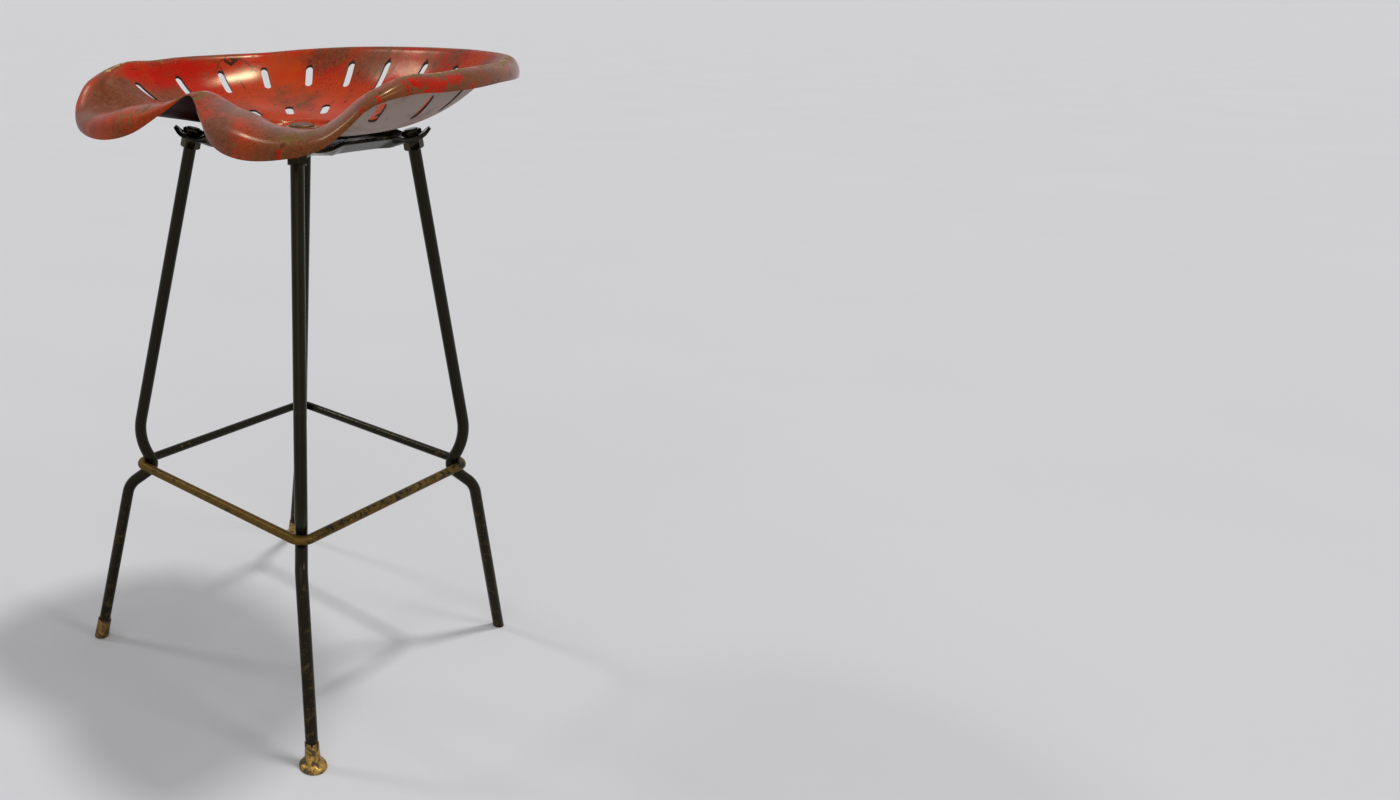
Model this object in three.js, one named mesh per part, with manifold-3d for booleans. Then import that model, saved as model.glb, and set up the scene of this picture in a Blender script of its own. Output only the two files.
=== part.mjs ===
// Stool with a pressed steel tractor seat that swivels on a plate with four bent rod legs.
// Millimetres, +Z up, the origin on the floor under the swivel axis, the sitter facing -Y.
// Bearings are degrees around that axis, read from the front, 0, past the right, 90, to the back.
import * as THREE from 'three';
import { mergeVertices } from 'three/addons/utils/BufferGeometryUtils.js';
import Module from 'manifold-3d';

const wasm = await Module();
wasm.setup();
const radians = THREE.MathUtils.degToRad;
const { clamp, lerp, smoothstep } = THREE.MathUtils;

// Clearances
const fitGap = 0.3;
const boreGap = 0.4;
const overrun = 5;

// Seat pan, pressed from one sheet
const seatWidth = 466;
const seatHeight = 644.5;
const bowlDepth = 76.8;
const sheet = 2.2;
const rimRoll = 15;
const rimDrop = 16;
const rimEndDegrees = 100;
const rimSquareness = 1.1;
const crestRound = 8;
const rimCant = 3.6;
const cantBearing = 105;
const discRadius = 76.4;
const discStep = 3;
const discRecess = 3;
const bossRadius = 32.3;
const bossFlank = 4;
const armLength = 68.5;
const armWidth = 12.7;
const armFlank = 4.5;
const panDivisions = 72;
const bowlRingShares = [0.15, 0.32, 0.5, 0.67, 0.84, 1];
const crestRingShares = [0.5, 1];
const rimRingShares = [0.25, 0.5, 0.75, 1];

// Half of the seat's outline, from the notch at the front to the back
const bearings = [0, 10, 20, 30, 40, 50, 55, 60, 70, 80, 90, 105, 120, 135, 150, 165, 180];
// Reach from the swivel axis, as shares of half the seat's width
const reachShares = [0.654, 0.712, 0.814, 0.912, 1.008, 1.093, 1.119, 1.107, 1.057, 1.013, 0.99,
  0.973, 0.976, 0.979, 0.92, 0.873, 0.854];
// Height of the rim's crest over the seat's centre, as shares of the bowl's depth
const crestShares = [0.595, 0.51, 0.435, 0.39, 0.29, 0.28, 0.433, 0.657, 0.844, 0.852, 0.88,
  0.893, 0.905, 0.95, 0.983, 0.996, 1];
// How much of the bowl's rise is a straight slope, as shares of the rise; the rest curves up
const straightShares = [0, 0, 0, 0, 0, 0.1, 0.3, 0.45, 0.32, 0.315, 0.315,
  0.325, 0.34, 0.36, 0.35, 0.31, 0.31];
// Powers of the part that curves up, from full near the disc to late near the rim
const risePowers = [0.63, 0.66, 0.66, 0.63, 0.71, 0.83, 1.12, 2.35, 4.4, 4.4, 4.1,
  3.4, 2.95, 2.75, 2.8, 2.95, 2.75];
// Width of the roll outside the crest, as shares of the rim's roll
const rollShares = [1.4, 2.37, 3.18, 3.45, 3.05, 2.28, 1.85, 1.35, 1.05, 1, 1.02,
  1.02, 1, 1.02, 1, 1, 1.02];
// Drop of the roll outside the crest, as shares of the rim's drop
const dropShares = [0.2, 0.85, 1.85, 2.2, 1.65, 0.97, 0.68, 0.6, 0.95, 1, 1.1,
  1.03, 1.1, 1.28, 1.25, 1.12, 1.09];

// Slots through the pan, in pairs counted from the back
const outerSlotFirst = 9.9;
const outerSlotPitch = 17.1;
const outerSlotShares = [0.682, 0.716, 0.76, 0.77, 0.772, 0.798, 0.844];
const outerSlotLength = 28.4;
const outerSlotWidth = 8.6;
const innerSlotPairs = 6;
const innerSlotFirst = 11.2;
const innerSlotPitch = 21.6;
const innerSlotReach = 110.8;
const innerSlotLength = 24.5;
const innerSlotWidth = 9.8;
const slotEndSteps = 5;

// Centre bolt and the swivel stack under the seat
const boltRadius = 6.35;
const boltHeadRadius = 14;
const boltHeadHeight = 4.2;
const boltHeadEdge = 1.2;
const boltProud = 3;
const crownShares = [1, 0.92, 0.7, 0.38];
const seatWasherRadius = 19.1;
const seatWasherHeight = 1;
const raceRadius = 21;
const raceHeight = 2;
const bearingRadius = 19;
const bearingHeight = 7;
const clampWasherRadius = 18;
const clampWasherHeight = 2.5;
const roundSides = 32;

// Base plate, pressed into a shallow square tray with its corners bent up square to the legs
const plateSide = 202;
const plateCorner = 12;
const plateThickness = 3.5;
const plateBend = 17;
const plateRise = 10.5;
const earLength = 42.9;
const studInset = 17.2;
const tipLength = 6.9;
const tipRise = 6;
const flangeFadeShares = [0.6, 0.97];
const plateFloorShares = [0, 0.35, 0.72, 0.86, 1];
const plateFlangeShares = [0.5, 1];
// Bearings of the plate's grid between a corner, 0, and the middle of a side, 1
const plateFanShares = [0, 0.045, 0.085, 0.14, 0.24, 0.37, 0.52, 0.75, 1];

// Legs of round rod, bent in to a waist that holds the footrest ring
const legRadius = 7.15;
const splayDegrees = 12.58;
const waistHeight = 239;
const waistInset = 27.7;
const kneeRise = 39;
const hipDrop = 25;
const kneeBend = 70;
const hipBend = 30;
const studProud = 0.8;
const bendSteps = 5;
const rodSides = 12;

// Footrest ring of thinner rod
const ringRadius = 5.35;
const ringCorner = 14;
const ringSteps = 6;
const ringSides = 10;

// Hex nuts, full ones under the plate and on the bolt, thin ones on top of the plate
const nutAcross = 19.05;
const nutHeight = 11;
const thinNutHeight = 6;
const nutBoreSteps = 10;

// Feet, two flared glides, one plain cap and one bare rod end, each flat on the floor
const glideBase = 15.5;
const glideEdge = 1.5;
const glideEdgeRound = 0.7;
const glideShoulder = 12.5;
const glideDome = 5;
const glideHub = 1.5;
const glideSleeve = 29;
const glideSleeveFoot = 8.75;
const glideSleeveTop = 8;
const glideFloor = 5;
const capRadius = 9;
const capTop = 8.5;
const capHeight = 26;
const capBevel = 2.2;
const capFloor = 4;
const rodEndBevel = 1.2;
const footSides = 24;

// The base stands turned a little under the seat, as the swivel lets it, and is twisted a little
// itself: every foot stands aside of its corner of the ring, and the plate is turned the other way
const baseTurnDegrees = 1.9;
const footLean = 13;
const plateTwistDegrees = 2.1;
const baseCorners = [
  { name: 'front_right', bearing: 45, foot: 'glide' },
  { name: 'back_right', bearing: 135, foot: 'bare' },
  { name: 'back_left', bearing: 225, foot: 'glide' },
  { name: 'front_left', bearing: 315, foot: 'cap' },
];

// Materials
const paint = new THREE.MeshStandardMaterial({ color: 0xc8321a, roughness: 0.45, metalness: 0.1 });
const bare = new THREE.MeshStandardMaterial({ color: 0x8a7b5c, roughness: 0.5, metalness: 0.8 });
const black = new THREE.MeshStandardMaterial({ color: 0x1a1b18, roughness: 0.35, metalness: 0.4 });
const brass = new THREE.MeshStandardMaterial({ color: 0xa37a2c, roughness: 0.4, metalness: 0.8 });
const bronze = new THREE.MeshStandardMaterial({ color: 0x8c6a3a, roughness: 0.5, metalness: 0.7 });
const zinc = new THREE.MeshStandardMaterial({ color: 0x9a9a92, roughness: 0.45, metalness: 0.8 });

// Worked out from the sizes above
const splay = radians(splayDegrees);
const slope = Math.tan(splay);
const halfWidth = seatWidth / 2;
const halfPlate = plateSide / 2;
const seatUnderside = seatHeight - sheet;
const plateTop = seatUnderside - 2 * raceHeight - fitGap - bearingHeight;
const plateBottom = plateTop - plateThickness;
const clampBottom = plateBottom - clampWasherHeight;
const lockNutBottom = clampBottom - fitGap - nutHeight;
const boltBore = boltRadius + boreGap;
const kneeHeight = waistHeight + kneeRise;
const hipHeight = waistHeight - hipDrop;

// Joining and cutting

function solidOf(geometry) {
  const plain = geometry.clone();
  plain.deleteAttribute('normal');
  plain.deleteAttribute('uv');
  const merged = mergeVertices(plain);
  return new wasm.Manifold(new wasm.Mesh({
    numProp: 3,
    vertProperties: new Float32Array(merged.attributes.position.array),
    triVerts: new Uint32Array(merged.index.array),
  }));
}

function geometryOf(solid) {
  const mesh = solid.getMesh();
  const geometry = new THREE.BufferGeometry();
  geometry.setAttribute('position', new THREE.Float32BufferAttribute(mesh.vertProperties, 3));
  geometry.setIndex(Array.from(mesh.triVerts));
  geometry.computeVertexNormals();
  return geometry;
}

function cutBy(geometry, cutters) {
  const solid = cutters.reduce((left, cutter) => left.subtract(solidOf(cutter)), solidOf(geometry));
  return geometryOf(solid);
}

function meshed(positions, indices) {
  const geometry = new THREE.BufferGeometry();
  geometry.setAttribute('position', new THREE.Float32BufferAttribute(positions, 3));
  geometry.setIndex(indices);
  geometry.computeVertexNormals();
  return geometry;
}

// Pressed sheet, as rings of points around the axis

function polar(bearing, reach, height) {
  const angle = radians(bearing - 90);
  return new THREE.Vector3(reach * Math.cos(angle), reach * Math.sin(angle), height);
}

function ringNormals(rings) {
  return rings.map((ring, j) => ring.map((_, i) => {
    const inner = rings[Math.max(j - 1, 0)][i];
    const outer = rings[Math.min(j + 1, rings.length - 1)][i];
    const before = ring[(i + ring.length - 1) % ring.length];
    const after = ring[(i + 1) % ring.length];
    const along = outer.clone().sub(inner);
    return along.cross(after.clone().sub(before)).normalize();
  }));
}

// Closes a sheet of the given thickness under the rings of its top face
function sheetShell(rings, thickness) {
  const normals = ringNormals(rings);
  const under = rings.map((ring, j) => ring.map((point, i) =>
    point.clone().addScaledVector(normals[j][i], -thickness)));
  const count = rings[0].length;
  const layer = rings.length * count;
  const outermost = layer - count;
  const positions = [...rings.flat(), ...under.flat()].flatMap((point) => point.toArray());
  const indices = [];
  const quad = (a, b, c, d) => indices.push(a, b, c, a, c, d);
  for (let i = 0; i < count; i++) {
    const next = (i + 1) % count;
    for (let row = 0; row < outermost; row += count) {
      const outer = row + count;
      quad(row + i, outer + i, outer + next, row + next);
      quad(layer + row + next, layer + outer + next, layer + outer + i, layer + row + i);
    }
    quad(i, next, layer + next, layer + i);
    quad(outermost + i, layer + outermost + i, layer + outermost + next, outermost + next);
  }
  return meshed(positions, indices);
}

// Rods

// Rounds the corners of a flat path, as stations with a point and the way the path runs there
function roundedStations(corners, bends, steps, loops) {
  const count = corners.length;
  return corners.flatMap((corner, k) => {
    const toward = corners[(k + 1) % count].clone().sub(corner).normalize();
    const from = corner.clone().sub(corners[(k + count - 1) % count]).normalize();
    if (!loops && k === 0) return [{ point: corner, along: toward }];
    if (!loops && k === count - 1) return [{ point: corner, along: from }];
    const turn = Math.atan2(from.cross(toward), from.dot(toward));
    const start = corner.clone().addScaledVector(from, -bends[k] * Math.tan(Math.abs(turn) / 2));
    const inward = new THREE.Vector2(-from.y, from.x).multiplyScalar(Math.sign(turn));
    const centre = start.clone().addScaledVector(inward, bends[k]);
    return Array.from({ length: steps + 1 }, (_, step) => {
      const angle = turn * step / steps;
      const point = start.clone().rotateAround(centre, angle);
      const along = from.clone().rotateAround(new THREE.Vector2(), angle);
      return { point, along, centre };
    });
  });
}

// Sweeps a round section along stations, which lift takes from their plane into space
function sweptRod({ stations, radius, sides, loops, lift, across }) {
  const positions = stations.flatMap(({ point, along }) => {
    const outward = lift(new THREE.Vector2(along.y, -along.x)).sub(lift(new THREE.Vector2()));
    return Array.from({ length: sides }, (_, s) => 2 * Math.PI * s / sides).flatMap((angle) =>
      lift(point)
        .addScaledVector(outward, radius * Math.cos(angle))
        .addScaledVector(across, radius * Math.sin(angle))
        .toArray());
  });
  const indices = [];
  const rows = loops ? stations.length : stations.length - 1;
  for (let row = 0; row < rows; row++) {
    const here = row * sides;
    const there = ((row + 1) % stations.length) * sides;
    for (let s = 0; s < sides; s++) {
      const next = (s + 1) % sides;
      indices.push(here + s, there + next, here + next, here + s, there + s, there + next);
    }
  }
  const last = rows * sides;
  for (let s = 1; !loops && s + 1 < sides; s++) {
    indices.push(0, s, s + 1, last, last + s + 1, last + s);
  }
  return meshed(positions, indices);
}

// Turned and hexagonal pieces, standing on their own axis

function turned(profile, sides) {
  const points = profile.map(([radius, height]) => new THREE.Vector2(radius, height));
  return new THREE.LatheGeometry(points, sides).rotateX(Math.PI / 2);
}

function washer(outerRadius, innerRadius, height, bottom) {
  return turned([
    [innerRadius, bottom],
    [outerRadius, bottom],
    [outerRadius, bottom + height],
    [innerRadius, bottom + height],
    [innerRadius, bottom],
  ], roundSides);
}

function hexNut(across, bore, height, bottom) {
  const outline = new THREE.Shape();
  const cornerReach = across / 2 / Math.cos(Math.PI / 6);
  for (let k = 0; k < 6; k++) {
    const angle = (2 * k + 1) * Math.PI / 6;
    const spot = [cornerReach * Math.cos(angle), cornerReach * Math.sin(angle)];
    if (k === 0) outline.moveTo(...spot);
    else outline.lineTo(...spot);
  }
  outline.closePath();
  outline.holes.push(new THREE.Path().absarc(0, 0, bore, 0, 2 * Math.PI, true));
  const options = { depth: height, bevelEnabled: false, curveSegments: nutBoreSteps };
  return new THREE.ExtrudeGeometry(outline, options).translate(0, 0, bottom);
}

// Seat pan

function outlineTable(shares) {
  const table = new THREE.CubicInterpolant(bearings, shares, 1, new Float64Array(1));
  table.settings = { endingStart: THREE.ZeroSlopeEnding, endingEnd: THREE.ZeroSlopeEnding };
  return (bearing) => table.evaluate(180 - Math.abs(180 - bearing))[0];
}

const outline = {
  reach: outlineTable(reachShares),
  crest: outlineTable(crestShares),
  straight: outlineTable(straightShares),
  power: outlineTable(risePowers),
  roll: outlineTable(rollShares),
  drop: outlineTable(dropShares),
};

// The pan's section at a bearing: a bowl that steepens outwards, a rounded crest and a rolled rim
function panSection(bearing) {
  const reach = halfWidth * outline.reach(bearing);
  const roll = rimRoll * outline.roll(bearing);
  const crest = bowlDepth * outline.crest(bearing);
  const drop = rimDrop * outline.drop(bearing);
  const straight = outline.straight(bearing);
  const power = outline.power(bearing);
  const crestReach = reach - roll;
  const bowlRun = crestReach - crestRound - discRadius;
  const steepness = lerp(power, 1, straight) * crestRound / (2 * bowlRun);
  const bowlRise = crest / (1 + steepness);
  return { roll, crest, drop, straight, power, crestReach, bowlRun, bowlRise };
}

// Height over the recessed disc of its boss, its four arms and its edge, as a share of the recess
function raisedShare(bearing, reach) {
  const toBoss = (bossRadius + bossFlank - reach) / bossFlank;
  const aside = reach * Math.sin(radians(Math.abs((bearing % 90) - 45)));
  const acrossArm = (armWidth / 2 + armFlank - aside) / armFlank;
  const alongArm = (armLength - reach) / armFlank;
  const toBowl = (reach - discRadius + discStep) / discStep;
  return clamp(Math.max(toBoss, Math.min(acrossArm, alongArm), toBowl), 0, 1);
}

function discRings() {
  const reaches = [
    boltBore,
    bossRadius,
    bossRadius + bossFlank,
    (bossRadius + armLength) / 2,
    armLength - armFlank,
    armLength,
    discRadius - discStep,
    discRadius,
  ];
  return reaches.map((reach) => (bearing) =>
    polar(bearing, reach, discRecess * (raisedShare(bearing, reach) - 1)));
}

function bowlRings() {
  return bowlRingShares.map((share) => (bearing) => {
    const { bowlRun, bowlRise, straight, power } = panSection(bearing);
    const rise = bowlRise * lerp(share ** power, share, straight);
    return polar(bearing, discRadius + share * bowlRun, rise);
  });
}

function crestRings() {
  return crestRingShares.map((share) => (bearing) => {
    const { crestReach, crest, bowlRise } = panSection(bearing);
    const rest = 1 - share;
    return polar(bearing, crestReach - rest * crestRound, lerp(crest, bowlRise, rest * rest));
  });
}

function rimRings() {
  const end = radians(rimEndDegrees);
  return rimRingShares.map((share) => (bearing) => {
    const { crestReach, roll, crest, drop } = panSection(bearing);
    const fallen = ((1 - Math.cos(share * end)) / (1 - Math.cos(end))) ** rimSquareness;
    return polar(bearing, crestReach + roll * Math.sin(share * end), crest - drop * fallen);
  });
}

function slotCutter(bearing, reach, length, width) {
  const end = width / 2;
  const half = length / 2 - end;
  const stadium = new THREE.Shape();
  stadium.absarc(half, 0, end, -Math.PI / 2, Math.PI / 2, false);
  stadium.absarc(-half, 0, end, Math.PI / 2, 3 * Math.PI / 2, false);
  const depth = bowlDepth + 2 * overrun;
  const options = { depth, bevelEnabled: false, curveSegments: slotEndSteps };
  const cutter = new THREE.ExtrudeGeometry(stadium, options).translate(reach, 0, -overrun);
  return cutter.rotateZ(radians(bearing - 90));
}

function slotCutters() {
  return [-1, 1].flatMap((side) => {
    const outer = outerSlotShares.map((share, k) => slotCutter(
      180 + side * (outerSlotFirst + k * outerSlotPitch), halfWidth * share, outerSlotLength, outerSlotWidth));
    const inner = Array.from({ length: innerSlotPairs }, (_, k) => slotCutter(
      180 + side * (innerSlotFirst + k * innerSlotPitch), innerSlotReach, innerSlotLength, innerSlotWidth));
    return [...outer, ...inner];
  });
}

// Height that the pan gains outside its disc because it is bent up at one side and down at the other
function cantRise(bearing, reach) {
  const share = Math.max(0, reach - discRadius) / (halfWidth - discRadius);
  return rimCant * share * Math.cos(radians(bearing - cantBearing));
}

function seatPan() {
  const makers = [...discRings(), ...bowlRings(), ...crestRings(), ...rimRings()];
  const around = Array.from({ length: panDivisions }, (_, i) => 360 * i / panDivisions);
  const rings = makers.map((maker) => around.map((bearing) => {
    const point = maker(bearing);
    return point.setZ(point.z + cantRise(bearing, Math.hypot(point.x, point.y)));
  }));
  return cutBy(sheetShell(rings, sheet), slotCutters());
}

// Base plate

// Reach of a rounded square's outline at a bearing
function squareReach(bearing, half, corner) {
  const fold = radians(45 - Math.abs((bearing % 90) - 45));
  const inner = half - corner;
  const straight = half / Math.cos(fold);
  if (straight * Math.sin(fold) <= inner) return straight;
  const along = inner * (Math.cos(fold) + Math.sin(fold));
  const off = inner * (Math.cos(fold) - Math.sin(fold));
  return along + Math.sqrt(corner * corner - off * off);
}

// How far a bearing belongs to a corner of the plate, 0 at the middle of a side
function cornerShare(bearing) {
  const [startShare, fullShare] = flangeFadeShares;
  return smoothstep(Math.abs(Math.sin(radians(2 * bearing))), startShare, fullShare);
}

// Reaches from the swivel axis to a corner's tip and to its two folds
const tipReach = squareReach(45, halfPlate, plateCorner);
const earFold = tipReach - earLength;
const tipFold = tipReach - tipLength;

// Height of the folded corners and their tips over the tray's floor
function earHeight({ x, y }, tipSlope) {
  const diagonal = (Math.abs(x) + Math.abs(y)) / Math.SQRT2;
  return slope * Math.max(0, diagonal - earFold) + tipSlope * Math.max(0, diagonal - tipFold);
}

function plateRings() {
  const tipSlope = tipRise / tipLength;
  const placed = (bearing, reach, rise) => {
    const point = polar(bearing, reach, plateTop + rise);
    point.z += earHeight(point, tipSlope);
    return point;
  };
  const bendReach = (bearing, edge) => edge - lerp(plateBend, tipLength, cornerShare(bearing));
  const floor = plateFloorShares.map((share) => (bearing) => {
    const bend = bendReach(bearing, squareReach(bearing, halfPlate, plateCorner));
    return placed(bearing, lerp(boltBore, bend, share), 0);
  });
  const flange = plateFlangeShares.map((share) => (bearing) => {
    const edge = squareReach(bearing, halfPlate, plateCorner);
    const rise = plateRise * share * (1 - cornerShare(bearing));
    return placed(bearing, lerp(bendReach(bearing, edge), edge, share), rise);
  });
  return [...floor, ...flange];
}

// Where a leg's axis meets the underside of the folded corner, and where it meets the floor
const earSeat = new THREE.Vector2(tipReach - studInset, plateBottom + slope * (earLength - studInset));
const footReach = earSeat.x + slope * earSeat.y;
const plateLean = earSeat.x * Math.tan(radians(plateTwistDegrees));

// Stands a piece on the leg's axis, square to it, at a spot in the plane of the corner
function onLegAxis(geometry, spot) {
  return geometry.rotateY(-splay).translate(spot.x, 0, spot.y);
}

function legPoint(height) {
  return new THREE.Vector2(footReach - slope * height, height);
}

// Leans what is on a leg sideways, below the hip with the foot and above the waist with the plate
function leaned(geometry) {
  const spots = geometry.attributes.position;
  for (let i = 0; i < spots.count; i++) {
    const belowHip = Math.max(0, 1 - spots.getZ(i) / hipHeight);
    const aboveWaist = Math.max(0, (spots.getZ(i) - waistHeight) / (earSeat.y - waistHeight));
    spots.setY(i, spots.getY(i) + footLean * belowHip - plateLean * aboveWaist);
  }
  geometry.computeVertexNormals();
  return geometry;
}

function legDrill(bearing) {
  const bore = legRadius + boreGap;
  const reach = nutHeight + overrun;
  const drill = turned([[0, -reach], [bore, -reach], [bore, reach], [0, reach]], footSides);
  return leaned(onLegAxis(drill, earSeat)).rotateZ(radians(bearing - 90));
}

function basePlate() {
  const quarter = [...plateFanShares.slice(0, -1), ...plateFanShares.map((share) => 2 - share).reverse()];
  const fan = quarter.slice(0, -1).map((share) => 45 * share);
  const around = [0, 90, 180, 270].flatMap((start) => fan.map((turn) => (start + 45 + turn) % 360));
  const rings = plateRings().map((maker) => around.map(maker));
  const plate = sheetShell(rings, plateThickness).rotateZ(radians(-plateTwistDegrees));
  return cutBy(plate, baseCorners.map(({ bearing }) => legDrill(bearing)));
}

// Legs and their feet, each in the upright plane of its corner

// What wear takes from a foot: all below the floor, and the sharp edge around its flat
function wear(radius, bevel) {
  const reach = 2 * footReach;
  const ground = new THREE.BoxGeometry(reach, reach, reach).translate(footReach, 0, -reach / 2);
  const edge = turned([
    [radius - 2 * bevel, -bevel],
    [radius + overrun, -bevel],
    [radius + overrun, bevel + overrun],
    [radius - 2 * bevel, -bevel],
  ], footSides).translate(footReach, 0, 0);
  return [ground, edge];
}

// How far up its axis from the floor each kind of foot lets the rod's end sit
const footSockets = { glide: glideFloor + fitGap, cap: capFloor + fitGap, bare: -overrun };

// The spot a distance up the leg's axis from one at the given height
function upLeg(height, distance) {
  return legPoint(height + distance * Math.cos(splay));
}

function legStations(foot) {
  const nuts = plateThickness + thinNutHeight + 2 * fitGap;
  const knee = legPoint(kneeHeight);
  const waist = new THREE.Vector2(legPoint(waistHeight).x - waistInset, waistHeight);
  const corners = [
    upLeg(earSeat.y, nuts + studProud),
    knee,
    waist,
    legPoint(hipHeight),
    upLeg(0, footSockets[foot]),
  ];
  const waistBend = legRadius + ringRadius + fitGap;
  return roundedStations(corners, [0, kneeBend, waistBend, hipBend, 0], bendSteps, false);
}

function leg(foot) {
  const rod = sweptRod({
    stations: legStations(foot),
    radius: legRadius,
    sides: rodSides,
    loops: false,
    lift: (point) => new THREE.Vector3(point.x, 0, point.y),
    across: new THREE.Vector3(0, -1, 0),
  });
  return foot === 'bare' ? cutBy(rod, wear(legRadius, rodEndBevel)) : rod;
}

function socketDrill(floor, top) {
  const bore = legRadius + fitGap;
  const profile = [[0, floor], [bore, floor], [bore, top + overrun], [0, top + overrun]];
  return onLegAxis(turned(profile, footSides), legPoint(0));
}

// A domed pad flat on the floor, with a sleeve along the leg
function flaredGlide() {
  const shoulderHeight = glideEdge + glideDome;
  const padHeight = shoulderHeight + glideHub;
  const pad = turned([
    [0, 0],
    [glideBase - glideEdgeRound, 0],
    [glideBase, glideEdgeRound],
    [glideBase, glideEdge],
    [glideShoulder, shoulderHeight],
    [glideShoulder, padHeight],
    [0, padHeight],
  ], footSides).translate(legPoint(shoulderHeight).x, 0, 0);
  const sleeve = turned([
    [0, shoulderHeight],
    [glideSleeveFoot, shoulderHeight],
    [glideSleeveTop, glideSleeve],
    [0, glideSleeve],
  ], footSides);
  const joined = solidOf(pad).add(solidOf(onLegAxis(sleeve, legPoint(0))));
  return cutBy(geometryOf(joined), [socketDrill(glideFloor, glideSleeve)]);
}

function plainCap() {
  const cap = turned([
    [0, -overrun],
    [capRadius, -overrun],
    [capRadius, capHeight / 2],
    [capTop, capHeight],
    [0, capHeight],
  ], footSides);
  const cuts = [...wear(capRadius, capBevel), socketDrill(capFloor, capHeight)];
  return cutBy(onLegAxis(cap, legPoint(0)), cuts);
}

// The ring's rod lies in the hollow of the legs' waists
function footrestRing() {
  const bent = legStations('bare').filter((station) => station.centre);
  const hollow = bent[bendSteps + 1].centre;
  const half = (hollow.x - ringCorner) / Math.SQRT2 + ringCorner;
  const corners = [[half, -half], [half, half], [-half, half], [-half, -half]].map(([x, y]) =>
    new THREE.Vector2(x, y));
  return sweptRod({
    stations: roundedStations(corners, corners.map(() => ringCorner), ringSteps, true),
    radius: ringRadius,
    sides: ringSides,
    loops: true,
    lift: (point) => new THREE.Vector3(point.x, point.y, hollow.y),
    across: new THREE.Vector3(0, 0, 1),
  });
}

// Centre bolt and swivel stack

function centreBolt() {
  const headBottom = seatHeight + seatWasherHeight;
  const dome = boltHeadHeight - boltHeadEdge;
  const crown = crownShares.map((share) => [
    boltHeadRadius * share,
    headBottom + boltHeadEdge + dome * Math.sqrt(1 - share * share),
  ]);
  return turned([
    [0, lockNutBottom - boltProud],
    [boltRadius, lockNutBottom - boltProud],
    [boltRadius, headBottom],
    [boltHeadRadius, headBottom],
    ...crown,
    [0, headBottom + boltHeadHeight],
  ], footSides);
}

function swivelBearing() {
  return washer(bearingRadius, boltBore, bearingHeight, plateTop + raceHeight);
}

// Assembly

function named(name, geometry, material) {
  const mesh = new THREE.Mesh(geometry, material.clone());
  mesh.name = name;
  return mesh;
}

function seatAssembly() {
  const pan = named('seat_pan', seatPan(), paint);
  pan.position.z = seatHeight;
  return new THREE.Group().add(
    pan,
    named('seat_washer', washer(seatWasherRadius, boltBore, seatWasherHeight, seatHeight), bare),
    named('centre_bolt', centreBolt(), bare),
    named('upper_race', washer(raceRadius, boltBore, raceHeight, seatUnderside - raceHeight), zinc),
    named('lock_nut', hexNut(nutAcross, boltBore, nutHeight, lockNutBottom), zinc),
  );
}

function cornerAssembly({ name, bearing, foot }) {
  const corner = new THREE.Group();
  corner.rotation.z = radians(bearing - 90);
  const bore = legRadius + fitGap;
  const lowerNut = hexNut(nutAcross, bore, nutHeight, -fitGap - nutHeight);
  const upperNut = hexNut(nutAcross, bore, thinNutHeight, plateThickness + fitGap);
  corner.add(
    named(`leg_${name}`, leaned(leg(foot)), black),
    named(`lower_nut_${name}`, leaned(onLegAxis(lowerNut, earSeat)), black),
    named(`upper_nut_${name}`, leaned(onLegAxis(upperNut, earSeat)), black),
  );
  if (foot === 'glide') corner.add(named(`foot_glide_${name}`, leaned(flaredGlide()), brass));
  if (foot === 'cap') corner.add(named(`foot_cap_${name}`, leaned(plainCap()), brass));
  return corner;
}

function baseAssembly() {
  const base = new THREE.Group();
  base.rotation.z = radians(baseTurnDegrees);
  return base.add(
    named('base_plate', basePlate(), black),
    named('footrest_ring', footrestRing(), black),
    named('lower_race', washer(raceRadius, boltBore, raceHeight, plateTop), zinc),
    named('swivel_bearing', swivelBearing(), bronze),
    named('clamp_washer', washer(clampWasherRadius, boltBore, clampWasherHeight, clampBottom), zinc),
    ...baseCorners.map(cornerAssembly),
  );
}

export default new THREE.Group().add(seatAssembly(), baseAssembly());
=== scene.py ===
"""Looks of a stool with a slotted pressed steel seat on bent rod legs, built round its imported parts, in metres.

Bearings are degrees round the swivel axis, read from the front, 0, past the right, 90, to the back.
"""

import logging
import math
from collections.abc import Callable, Iterator, Sequence
from contextlib import contextmanager
from dataclasses import dataclass
from enum import Enum

import bmesh
import bpy
import numpy as np
from mathutils import Color, Matrix, Vector


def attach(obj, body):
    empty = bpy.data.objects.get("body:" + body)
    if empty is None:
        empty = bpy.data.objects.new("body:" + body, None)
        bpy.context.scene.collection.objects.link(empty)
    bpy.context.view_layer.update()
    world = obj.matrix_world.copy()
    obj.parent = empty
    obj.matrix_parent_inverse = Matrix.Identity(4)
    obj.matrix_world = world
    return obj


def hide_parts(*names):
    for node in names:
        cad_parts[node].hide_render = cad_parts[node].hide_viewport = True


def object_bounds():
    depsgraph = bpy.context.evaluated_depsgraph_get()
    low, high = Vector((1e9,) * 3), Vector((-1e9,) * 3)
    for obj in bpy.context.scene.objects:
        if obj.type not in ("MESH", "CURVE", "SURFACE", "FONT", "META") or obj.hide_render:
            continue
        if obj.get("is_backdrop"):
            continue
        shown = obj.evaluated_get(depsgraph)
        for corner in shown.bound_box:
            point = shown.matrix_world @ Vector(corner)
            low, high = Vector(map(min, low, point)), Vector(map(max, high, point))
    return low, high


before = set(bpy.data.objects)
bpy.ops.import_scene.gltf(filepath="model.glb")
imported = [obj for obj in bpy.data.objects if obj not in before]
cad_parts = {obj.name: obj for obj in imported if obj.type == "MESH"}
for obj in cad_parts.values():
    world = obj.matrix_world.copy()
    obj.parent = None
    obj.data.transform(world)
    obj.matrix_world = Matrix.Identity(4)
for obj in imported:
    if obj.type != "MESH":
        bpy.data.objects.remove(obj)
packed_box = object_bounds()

log = logging.getLogger("stool")

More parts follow.
